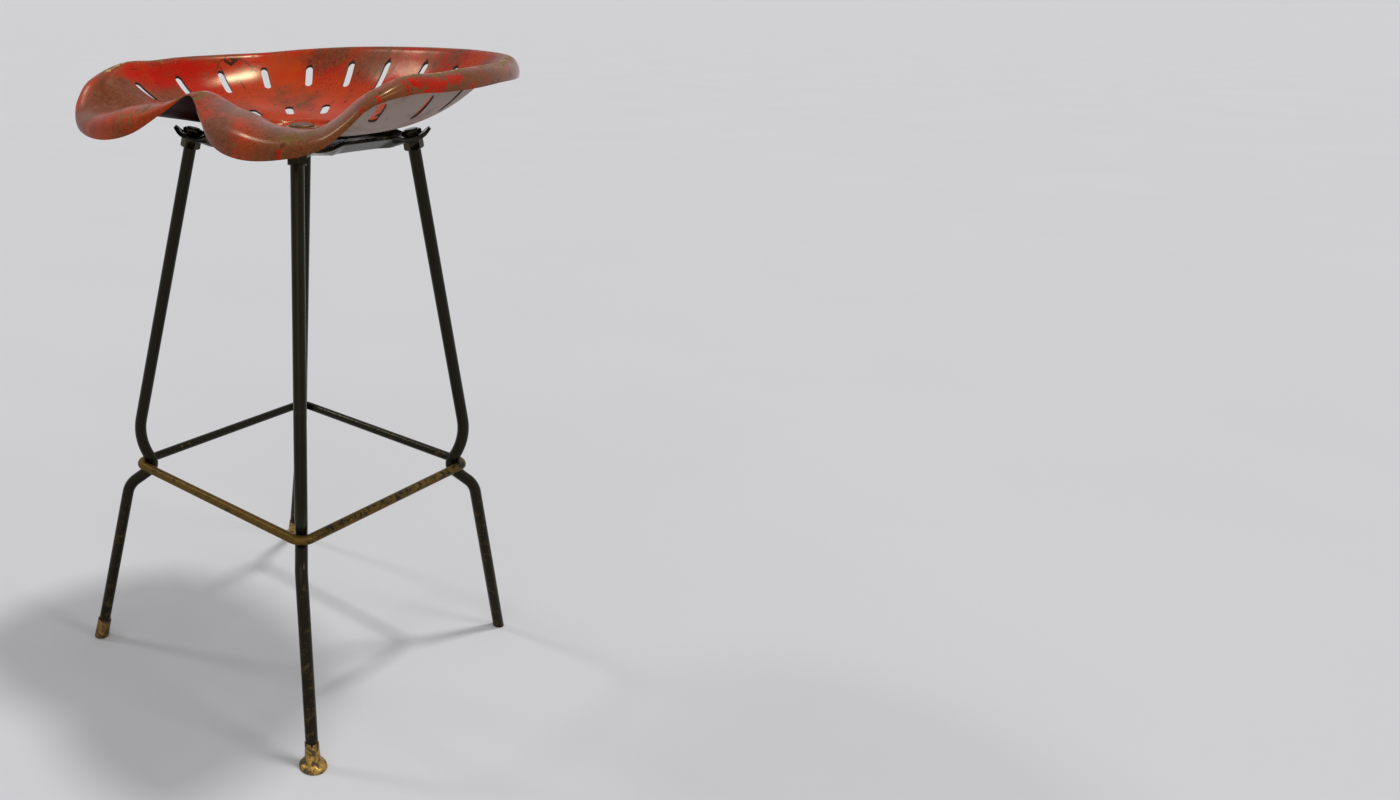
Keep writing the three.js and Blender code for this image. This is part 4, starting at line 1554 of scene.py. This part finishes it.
@dataclass(frozen=True)
class Base:
    """The plate, four bent legs with their nuts and feet, and the footrest ring."""

    gap: float = 0.0003
    bore_gap: float = 0.0004
    plate_side: float = 0.202
    plate_corner: float = 0.012
    plate_thickness: float = 0.0035
    plate_bottom: float = 0.6275
    plate_bend: float = 0.017
    plate_rise: float = 0.0105
    ear_length: float = 0.0429
    stud_inset: float = 0.0172
    tip_length: float = 0.0069
    tip_rise: float = 0.006
    fade: Pair = (0.6, 0.97)
    plate_bore: float = 0.00675
    plate_around: int = 240
    floor_rings: int = 16
    flange_rings: int = 8
    bore_sides: int = 40
    plate_crease: float = 30
    plate_edge: float = 0.0005
    leg: float = 0.007
    splay: float = 12.58
    waist_height: float = 0.239
    waist_inset: float = 0.0277
    knee_rise: float = 0.039
    hip_drop: float = 0.025
    knee_bend: float = 0.07
    hip_bend: float = 0.03
    stud_proud: float = 0.0008
    overrun: float = 0.004
    socket_floor: float = 0.0054
    leg_crease: float = 50
    ring: float = 0.00535
    ring_corner: float = 0.014
    ring_crease: float = 60
    ring_worn: Pair = (0.02, 0.004)
    side_worn_share: float = 0.7
    nut_across: float = 0.01905
    nut_height: float = 0.011
    thin_nut_height: float = 0.006
    glide_base: float = 0.0155
    glide_edge: float = 0.0015
    glide_shoulder: float = 0.0125
    glide_dome: float = 0.005
    glide_sides: int = 64
    dome_step: int = 15
    pad_edge: float = 0.0007
    pad_pinch: float = 0.0016
    neck_inset: float = 0.001
    neck_rise: float = 0.0014
    glide_sleeve: float = 0.029
    sleeve_foot: float = 0.00875
    sleeve_top: float = 0.008
    sleeve_start_share: float = 0.6
    sleeve_lip: float = 0.006
    sleeve_sides: int = 48
    collar: float = 0.0006
    collar_rise: float = 0.002
    collar_end: float = 0.0032
    flutes: int = 12
    flute_share: float = 0.045
    flute_heights: Pair = (0.009, 0.012)
    flute_skin: float = 0.0006
    notches: int = 6
    notch_depth: float = 0.0042
    notch_height: float = 0.003
    notch_sharpness: float = 3
    cap: float = 0.0089
    cap_top: float = 0.0085
    cap_height: float = 0.026
    cap_bevel: float = 0.0022
    cap_overrun: float = 0.005
    cap_floor: float = 0.0043
    cap_band: Pair = (0.0075, 0.0082)
    cap_step: float = 0.0003
    cap_lip: Pair = (0.0005, 0.0006)
    cap_sides: int = 56
    foot_crease: float = 40
    rod_end_bevel: float = 0.0012
    bevel_steps: int = 4
    turn: float = 1.9
    foot_lean: float = 0.013
    plate_twist: float = 2.1
    corners: tuple[Corner, ...] = (
        Corner("front_right", 45, Foot.GLIDE),
        Corner("back_right", 135, Foot.BARE),
        Corner("back_left", 225, Foot.GLIDE),
        Corner("front_left", 315, Foot.CAP),
    )

    @property
    def slope(self) -> float:
        """How far a leg reaches out for each metre down."""
        return math.tan(math.radians(self.splay))

    @property
    def tip_reach(self) -> float:
        """The reach of a plate corner's tip from the axis."""
        return (self.plate_side / 2 - self.plate_corner) * math.sqrt(2) + self.plate_corner

    @property
    def ear_seat(self) -> Vector:
        """Where a leg's axis meets the ear's underside, in the upright plane of its corner."""
        rise = self.slope * (self.ear_length - self.stud_inset)
        return Vector((self.tip_reach - self.stud_inset, 0, self.plate_bottom + rise))

    @property
    def foot_reach(self) -> float:
        """Where a leg's axis meets the floor, before it leans."""
        return self.ear_seat.x + self.slope * self.ear_seat.z

    @property
    def waist(self) -> tuple[Vector, Vector, Vector]:
        """Where a leg's straight runs would meet: at its knee, in its waist and at its hip."""
        knee, hip = self.on_leg(self.waist_height + self.knee_rise), self.on_leg(self.waist_height - self.hip_drop)
        return knee, self.on_leg(self.waist_height) - Vector((self.waist_inset, 0, 0)), hip

    @property
    def waist_bend(self) -> float:
        """The radius of a leg's waist, in whose hollow the ring lies."""
        return self.leg + self.ring + self.gap

    def on_leg(self, height: float) -> Vector:
        """Returns the spot on a leg's axis at a height, in the upright plane of its corner."""
        return Vector((self.foot_reach - self.slope * height, 0, height))

    def up_leg(self, height: float, distance: float) -> Vector:
        """Returns the spot a distance up a leg's axis from one at a height."""
        return self.on_leg(height + distance * math.cos(math.radians(self.splay)))

    def square_to_leg(self, spot: Vector) -> Matrix:
        """Returns the place of a piece that stands on a leg's axis at a spot."""
        return Matrix.Translation(spot) @ Matrix.Rotation(-math.radians(self.splay), 4, "Y")

    def leaned(self, piece: bpy.types.Object) -> bpy.types.Object:
        """Leans a piece on a leg sideways, below the hip with the foot and above the waist with the plate.

        Args:
            piece: The piece, in the upright plane of a corner.

        Returns:
            The leaned piece.
        """
        places = Bench.places(piece)
        hip = self.waist_height - self.hip_drop
        below = np.maximum(0, 1 - places[:, 2] / hip)
        above = np.maximum(0, (places[:, 2] - self.waist_height) / (self.ear_seat.z - self.waist_height))
        plate_lean = self.ear_seat.x * math.tan(math.radians(self.plate_twist))
        places[:, 1] += self.foot_lean * below - plate_lean * above
        return Bench.move(piece, places)

    def at_corner(self, piece: bpy.types.Object, name: str, corner: Corner) -> bpy.types.Object:
        """Copies a piece, leans the copy and turns it to its place in the base.

        Args:
            piece: The piece, in the upright plane of a corner.
            name: The copy's name.
            corner: Where it goes.

        Returns:
            The copy.
        """
        turn = Matrix.Rotation(math.radians(corner.bearing - 90 + self.turn), 4, "Z")
        twin = self.leaned(Bench.copy(piece, name))
        twin.matrix_world = turn
        return Bench.settle(twin)

    def square_reach(self, bearings: np.ndarray, half: float, corner: float) -> np.ndarray:
        """Works out the reach of a rounded square's outline.

        Args:
            bearings: The bearings to work it out at.
            half: Half the square's side.
            corner: The radius of its corners.

        Returns:
            The reach at each bearing.
        """
        fold = np.radians(45 - np.abs(bearings % 90 - 45))
        inner = half - corner
        straight = half / np.cos(fold)
        along = inner * (np.cos(fold) + np.sin(fold))
        off = inner * (np.cos(fold) - np.sin(fold))
        rounded = along + np.sqrt(np.maximum(corner * corner - off * off, 0))
        return np.where(straight * np.sin(fold) <= inner, straight, rounded)

    def plate_ring(self, bearings: np.ndarray, ring: int) -> np.ndarray:
        """Places the points of one of the plate's rings: the floor to the bend, then the flange.

        Args:
            bearings: The points' bearings.
            ring: The ring's number from the middle out.

        Returns:
            The places, a row each.
        """
        edge = self.square_reach(bearings, self.plate_side / 2, self.plate_corner)
        at_corner = eased(np.abs(np.sin(np.radians(2 * bearings))), *self.fade)
        bend = edge - (self.plate_bend + (self.tip_length - self.plate_bend) * at_corner)
        inner, outer = min(ring / self.floor_rings, 1), max(ring - self.floor_rings, 0) / self.flange_rings
        reach = self.plate_bore + (bend - self.plate_bore) * inner + (edge - bend) * outer
        rise = self.plate_rise * outer * (1 - at_corner)
        places = rounded_rows(bearings, reach, self.plate_bottom + self.plate_thickness + rise)
        diagonal = (np.abs(places[:, 0]) + np.abs(places[:, 1])) / math.sqrt(2)
        past_ear = np.maximum(0, diagonal - self.tip_reach + self.ear_length)
        past_tip = np.maximum(0, diagonal - self.tip_reach + self.tip_length)
        places[:, 2] += self.slope * past_ear + self.tip_rise / self.tip_length * past_tip
        return places

    def build_plate(self, finishes: Finishes) -> None:
        """Presses the plate, drills it for the legs and dresses it.

        Args:
            finishes: The stool's finishes.
        """
        rings = self.floor_rings + self.flange_rings + 1
        plate = PressedSheet("pressed_plate", self.plate_thickness, self.plate_around).make(self.plate_ring, rings)
        plate.matrix_world = Matrix.Rotation(math.radians(self.turn - self.plate_twist), 4, "Z")
        Bench.settle(plate)
        plate.data.materials[0] = plate.data.materials[1] = finishes.plate
        bore, reach = self.leg + self.bore_gap, self.nut_height
        drill = Turning("drill", ((bore, -reach), (bore, reach)), self.bore_sides).make()
        drill.matrix_world = self.square_to_leg(self.ear_seat)
        Bench.settle(drill)
        Bench.carve(plate, Bench.joined([self.at_corner(drill, "leg_drill", corner) for corner in self.corners]))
        bpy.data.objects.remove(drill)
        for face in plate.data.polygons:
            face.material_index = 0
        Bench.soften(plate, self.plate_crease, self.plate_edge)
        dress(plate, [finishes.plate] * 2, "black_paint", "base", "base_plate")

    def leg_rod(self) -> bpy.types.Object:
        """Bends a leg in the upright plane of its corner, its lower end below the floor.

        Returns:
            The leg.
        """
        nuts = self.plate_thickness + self.thin_nut_height + 2 * self.gap
        stud, foot = self.up_leg(self.ear_seat.z, nuts + self.stud_proud), self.up_leg(0, -self.overrun)
        bends = (0, self.knee_bend, self.waist_bend, self.hip_bend, 0)
        return BentRod("leg_rod", self.leg, [stud, *self.waist, foot], bends).make()

    def ring_line(self) -> tuple[float, float]:
        """Finds the ring's square in the hollows of the waists.

        Returns:
            Half its side, and its height.
        """
        knee, waist, hip = self.waist
        up, down = (knee - waist).normalized(), (hip - waist).normalized()
        hollow = waist + (up + down).normalized() * (self.waist_bend / math.sin(up.angle(down) / 2))
        return (hollow.x - self.ring_corner) / math.sqrt(2) + self.ring_corner, hollow.z

    def build_ring(self, finishes: Finishes) -> None:
        """Bends the footrest ring into the waists of the legs, marks where feet wear it and dresses it.

        Args:
            finishes: The stool's finishes.
        """
        half, height = self.ring_line()
        angle = math.radians(self.turn)
        turn = Matrix.Rotation(angle, 4, "Z")
        square = ((1, -1), (1, 1), (-1, 1), (-1, -1))
        corners = [turn @ Vector((x * half, y * half, height)) for x, y in square]
        ring = BentRod("footrest_rod", self.ring, corners, (self.ring_corner,) * 4, loops=True).make()
        places = Bench.places(ring)
        x = places[:, 0] * math.cos(angle) + places[:, 1] * math.sin(angle)
        y = places[:, 1] * math.cos(angle) - places[:, 0] * math.sin(angle)
        front, side = (eased(way, *(half - depth for depth in self.ring_worn)) for way in (-y, x))
        Bench.mark(ring, "front", np.maximum(front, self.side_worn_share * side))
        dress(Bench.soften(ring, self.ring_crease), [finishes.ring], "black_paint", "base", "footrest_ring")

    def pad(self) -> bpy.types.Object:
        """Turns a glide's domed pad under its leg.

        Returns:
            The pad.
        """
        shoulder = self.glide_edge + self.glide_dome
        rings = [(self.glide_base - self.pad_edge, 0), (self.glide_base, self.pad_edge)]
        rings.append((self.glide_base, self.glide_edge))
        for degrees in range(self.dome_step, RIGHT_ANGLE + 1, self.dome_step):
            across, up = math.cos(math.radians(degrees)), math.sin(math.radians(degrees))
            reach = self.glide_shoulder + (self.glide_base - self.glide_shoulder) * across - self.pad_pinch * up
            rings.append((reach, self.glide_edge + self.glide_dome * up))
        rings.append((self.sleeve_foot - self.neck_inset, shoulder + self.neck_rise))
        pad = Turning("glide", rings, self.glide_sides).make()
        pad.location = (self.on_leg(shoulder).x, 0, 0)
        return Bench.settle(pad)

    def sleeve(self) -> bpy.types.Object:
        """Turns a glide's sleeve with a collar at its foot, flutes it and sets it on its leg.

        Returns:
            The sleeve.
        """
        bore, shoulder = self.leg + self.gap, self.glide_edge + self.glide_dome
        start, lip = shoulder * self.sleeve_start_share, self.glide_sleeve - self.sleeve_lip
        collar = self.sleeve_foot + self.collar
        sleeve = Turning("sleeve", (
            (bore, start), (collar, start), (collar, shoulder + self.collar_rise),
            (self.sleeve_foot, shoulder + self.collar_end), (self.sleeve_top, lip),
            (self.sleeve_top, self.glide_sleeve), (bore, self.glide_sleeve), (bore, lip), (bore, start),
        ), self.sleeve_sides, hollow=True).make()
        self.notch(sleeve)
        sleeve.matrix_world = self.square_to_leg(self.on_leg(0))
        return Bench.settle(sleeve)

    def notch(self, sleeve: bpy.types.Object) -> None:
        """Flutes a sleeve and pulls notches down in its upper edge.

        Args:
            sleeve: The sleeve, upright on its own axis.
        """
        places = Bench.places(sleeve)
        angle = np.arctan2(places[:, 1], places[:, 0])
        outside = np.hypot(places[:, 0], places[:, 1]) > self.leg + self.flute_skin
        fluted = eased(places[:, 2], *self.flute_heights) * outside
        top = eased(places[:, 2], self.glide_sleeve - self.notch_height, self.glide_sleeve)
        places[:, :2] *= (1 - self.flute_share * fluted * (0.5 - 0.5 * np.cos(self.flutes * angle)))[:, None]
        places[:, 2] -= self.notch_depth * top * np.maximum(0, np.cos(self.notches * angle)) ** self.notch_sharpness
        Bench.move(sleeve, places)

    def plain_cap(self) -> bpy.types.Object:
        """Turns a plain cap with a band at its foot, worn flat and round at the floor.

        Returns:
            The cap, in the upright plane of its corner.
        """
        bore, body = self.leg + self.gap, self.cap - self.cap_step
        (band, band_end), (lip, lip_height) = self.cap_band, self.cap_lip
        cap = Turning("cap", (
            (self.cap, -self.cap_overrun), (self.cap, band), (body, band_end), (body, self.cap_height / 2),
            (self.cap_top, self.cap_height - lip_height), (self.cap_top - lip, self.cap_height),
            (bore, self.cap_height), (bore, self.cap_floor),
        ), self.cap_sides).make()
        cap.matrix_world = self.square_to_leg(self.on_leg(0))
        return self.worn_flat(Bench.settle(cap), self.cap_bevel)

    def worn_flat(self, piece: bpy.types.Object, bevel: float) -> bpy.types.Object:
        """Cuts a piece off at the floor and rounds the edge there.

        Args:
            piece: The piece that runs below the floor.
            bevel: How wide the edge is rounded.

        Returns:
            The piece, standing flat.
        """
        with Bench.editing(piece):
            bpy.ops.mesh.bisect(plane_co=(0, 0, 0), plane_no=(0, 0, 1), use_fill=True, clear_inner=True)
            Bench.pick(piece, lambda place: abs(place.z) < CLOSE_WHERE_BENT)
            bpy.ops.mesh.region_to_loop()
            bpy.ops.mesh.bevel(offset=bevel, segments=self.bevel_steps)
        return Bench.close(piece)

    def build_feet(self, finishes: Finishes) -> None:
        """Makes one foot of each kind and puts them on their legs.

        Args:
            finishes: The stool's finishes.
        """
        pad = self.pad()
        glide = Bench.soften(Bench.joined([self.sleeve(), pad]), self.foot_crease)
        cap = Bench.soften(self.plain_cap(), self.foot_crease)
        for corner in self.corners:
            if corner.foot is Foot.GLIDE:
                foot = self.at_corner(glide, f"glide_{corner.name}", corner)
                dress(foot, [finishes.brass], "brass_foot", "base", f"foot_glide_{corner.name}")
            if corner.foot is Foot.CAP:
                foot = self.at_corner(cap, f"cap_{corner.name}", corner)
                dress(foot, [finishes.old_brass], "brass_foot", "base", f"foot_cap_{corner.name}")
        for pattern in (glide, cap):
            bpy.data.objects.remove(pattern)

    def leg_rods(self) -> tuple[bpy.types.Object, bpy.types.Object]:
        """Bends a leg for each kind of lower end.

        Returns:
            One that stands on the floor, and one that ends inside its foot.
        """
        bare = self.leg_rod()
        socketed = Bench.copy(bare, "socketed_rod")
        with Bench.editing(socketed):
            bpy.ops.mesh.bisect(
                plane_co=self.up_leg(0, self.socket_floor), plane_no=(-math.sin(math.radians(self.splay)), 0, 1),
                use_fill=True, clear_inner=True,
            )
        return self.worn_flat(bare, self.rod_end_bevel), socketed

    def nut_at(self, name: str, height: float, offset: float) -> bpy.types.Object:
        """Makes a nut on a leg in the upright plane of its corner.

        Args:
            name: The nut's name.
            height: Its height.
            offset: How far up the leg its lower face is from the ear's underside.

        Returns:
            The nut.
        """
        nut = HexNut(self.nut_across, self.leg + self.gap, height).make(name)
        nut.matrix_world = self.square_to_leg(self.ear_seat) @ Matrix.Translation((0, 0, offset))
        return Bench.settle(nut)

    def build_legs(self, finishes: Finishes) -> None:
        """Sets four legs, each with a nut under its ear and a thin one over it.

        Args:
            finishes: The stool's finishes.
        """
        bare, socketed = self.leg_rods()
        under = self.nut_at("lower_nut", self.nut_height, -self.gap - self.nut_height)
        over = self.nut_at("upper_nut", self.thin_nut_height, self.plate_thickness + self.gap)
        for corner in self.corners:
            pattern = bare if corner.foot is Foot.BARE else socketed
            leg = Bench.soften(self.at_corner(pattern, f"rod_{corner.name}", corner), self.leg_crease)
            dress(leg, [finishes.legs], "black_paint", "base", f"leg_{corner.name}")
            for nut, place, node in ((under, "under", "lower_nut"), (over, "over", "upper_nut")):
                set_nut = self.at_corner(nut, f"nut_{place}_{corner.name}", corner)
                dress(set_nut, [finishes.nuts], "black_nut", "base", f"{node}_{corner.name}")
        for pattern in (bare, socketed, under, over):
            bpy.data.objects.remove(pattern)

    def build(self, finishes: Finishes) -> None:
        """Builds the base from the plate down.

        Args:
            finishes: The stool's finishes.
        """
        self.build_plate(finishes)
        self.build_legs(finishes)
        self.build_feet(finishes)
        self.build_ring(finishes)


# Studio


@dataclass(frozen=True)
class SoftSky:
    """A wide soft light from one direction: its bearing and height, how wide it spreads, and its strength."""

    name: str
    bearing: float
    height: float
    spread: float
    strength: float


@dataclass(frozen=True)
class Studio:
    """A pale floor, a pale surround, soft light from four sides and the camera."""

    floor_size: float = 400
    floor_cloud: Cloud = Cloud(0.6, 2)
    floor_rough: float = 0.9
    grey: Colour = (208, 208, 210)
    shaded_grey: Colour = (203, 203, 206)
    white: Colour = (255, 255, 255)
    surround_light: float = 0.37
    lens: float = 26.65
    sensor: float = 36
    sight: float = 200
    camera_place: Triple = (0.8513, -0.7935, 0.7762)
    camera_down: float = 21.86
    camera_bearing: float = 47.01
    shift: Pair = (0.2844, 0.0092)
    skies: tuple[SoftSky, ...] = (
        SoftSky("key_light", 110, 38, 16, 0.14),
        SoftSky("top_light", 160, 74, 7, 0.39),
        SoftSky("left_light", 291, 46, 8, 0.12),
        SoftSky("front_light", 32, 30, 60, 0.16),
    )

    def build_floor(self) -> None:
        """Lays the floor."""
        Bench.clear()
        bpy.ops.mesh.primitive_plane_add(size=self.floor_size)
        floor = Bench.named("studio_floor")
        mix = Mixing("studio_floor")
        colour = mix.tint(mix.noise(self.floor_cloud), self.grey, self.shaded_grey)
        floor.data.materials.append(mix.done(colour, self.floor_rough))
        floor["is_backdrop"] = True

    def build_surround(self) -> None:
        """Lights the scene all round, and shows the pale surround to the camera and to glossy surfaces."""
        world = bpy.data.worlds.new("surround")
        bpy.context.scene.world = world
        world.use_nodes = True
        nodes, links = world.node_tree.nodes, world.node_tree.links
        output = nodes["World Output"]
        light = nodes["Background"]
        light.inputs["Color"].default_value = light_of(self.white)
        light.inputs["Strength"].default_value = self.surround_light
        seen = nodes.new("ShaderNodeBackground")
        seen.inputs["Color"].default_value = light_of(self.grey)
        seen.inputs["Strength"].default_value = 1
        path = nodes.new("ShaderNodeLightPath")
        share = path.outputs["Is Camera Ray"]
        for ray in ("Is Glossy Ray", "Is Transmission Ray"):
            either = nodes.new("ShaderNodeMath")
            either.operation = "MAXIMUM"
            links.new(share, either.inputs[0])
            links.new(path.outputs[ray], either.inputs[1])
            share = either.outputs[0]
        mixed = nodes.new("ShaderNodeMixShader")
        links.new(share, mixed.inputs[0])
        links.new(light.outputs[0], mixed.inputs[1])
        links.new(seen.outputs[0], mixed.inputs[2])
        links.new(mixed.outputs[0], output.inputs["Surface"])

    def build_lights(self) -> None:
        """Adds the soft lights, each turned to the swivel axis."""
        for sky in self.skies:
            light = bpy.data.lights.new(sky.name, "SUN")
            light.angle = math.radians(sky.spread)
            light.energy = sky.strength * math.pi
            holder = bpy.data.objects.new(sky.name, light)
            bpy.context.scene.collection.objects.link(holder)
            holder.rotation_euler = (math.radians(90 - sky.height), 0, math.radians(sky.bearing))

    def build_camera(self) -> None:
        """Sets the camera where the photograph was taken from."""
        camera = bpy.data.cameras.new("camera")
        camera.lens = self.lens
        camera.sensor_width = self.sensor
        camera.shift_x, camera.shift_y = self.shift
        camera.clip_end = self.sight
        holder = bpy.data.objects.new("camera", camera)
        bpy.context.scene.collection.objects.link(holder)
        holder.location = self.camera_place
        holder.rotation_euler = (math.radians(90 - self.camera_down), 0, math.radians(self.camera_bearing))
        bpy.context.scene.camera = holder

    def build(self) -> None:
        """Sets up the studio."""
        bpy.context.scene.view_settings.view_transform = "Standard"
        self.build_camera()
        self.build_floor()
        self.build_surround()
        self.build_lights()


def main() -> None:
    """Builds the stool and its studio."""
    logging.basicConfig(level=logging.INFO, format="%(name)s: %(message)s")
    Studio().build()
    finishes = Finishes()
    for assembly in (SeatPan(), CentreStack(), Base()):
        log.info("building %s", type(assembly).__name__)
        assembly.build(finishes)
    boxes = {"packed": packed_box, "dressed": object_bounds()}
    {name: [list(corner) for corner in box] for name, box in boxes.items()}


if __name__ == "__main__":
    main()
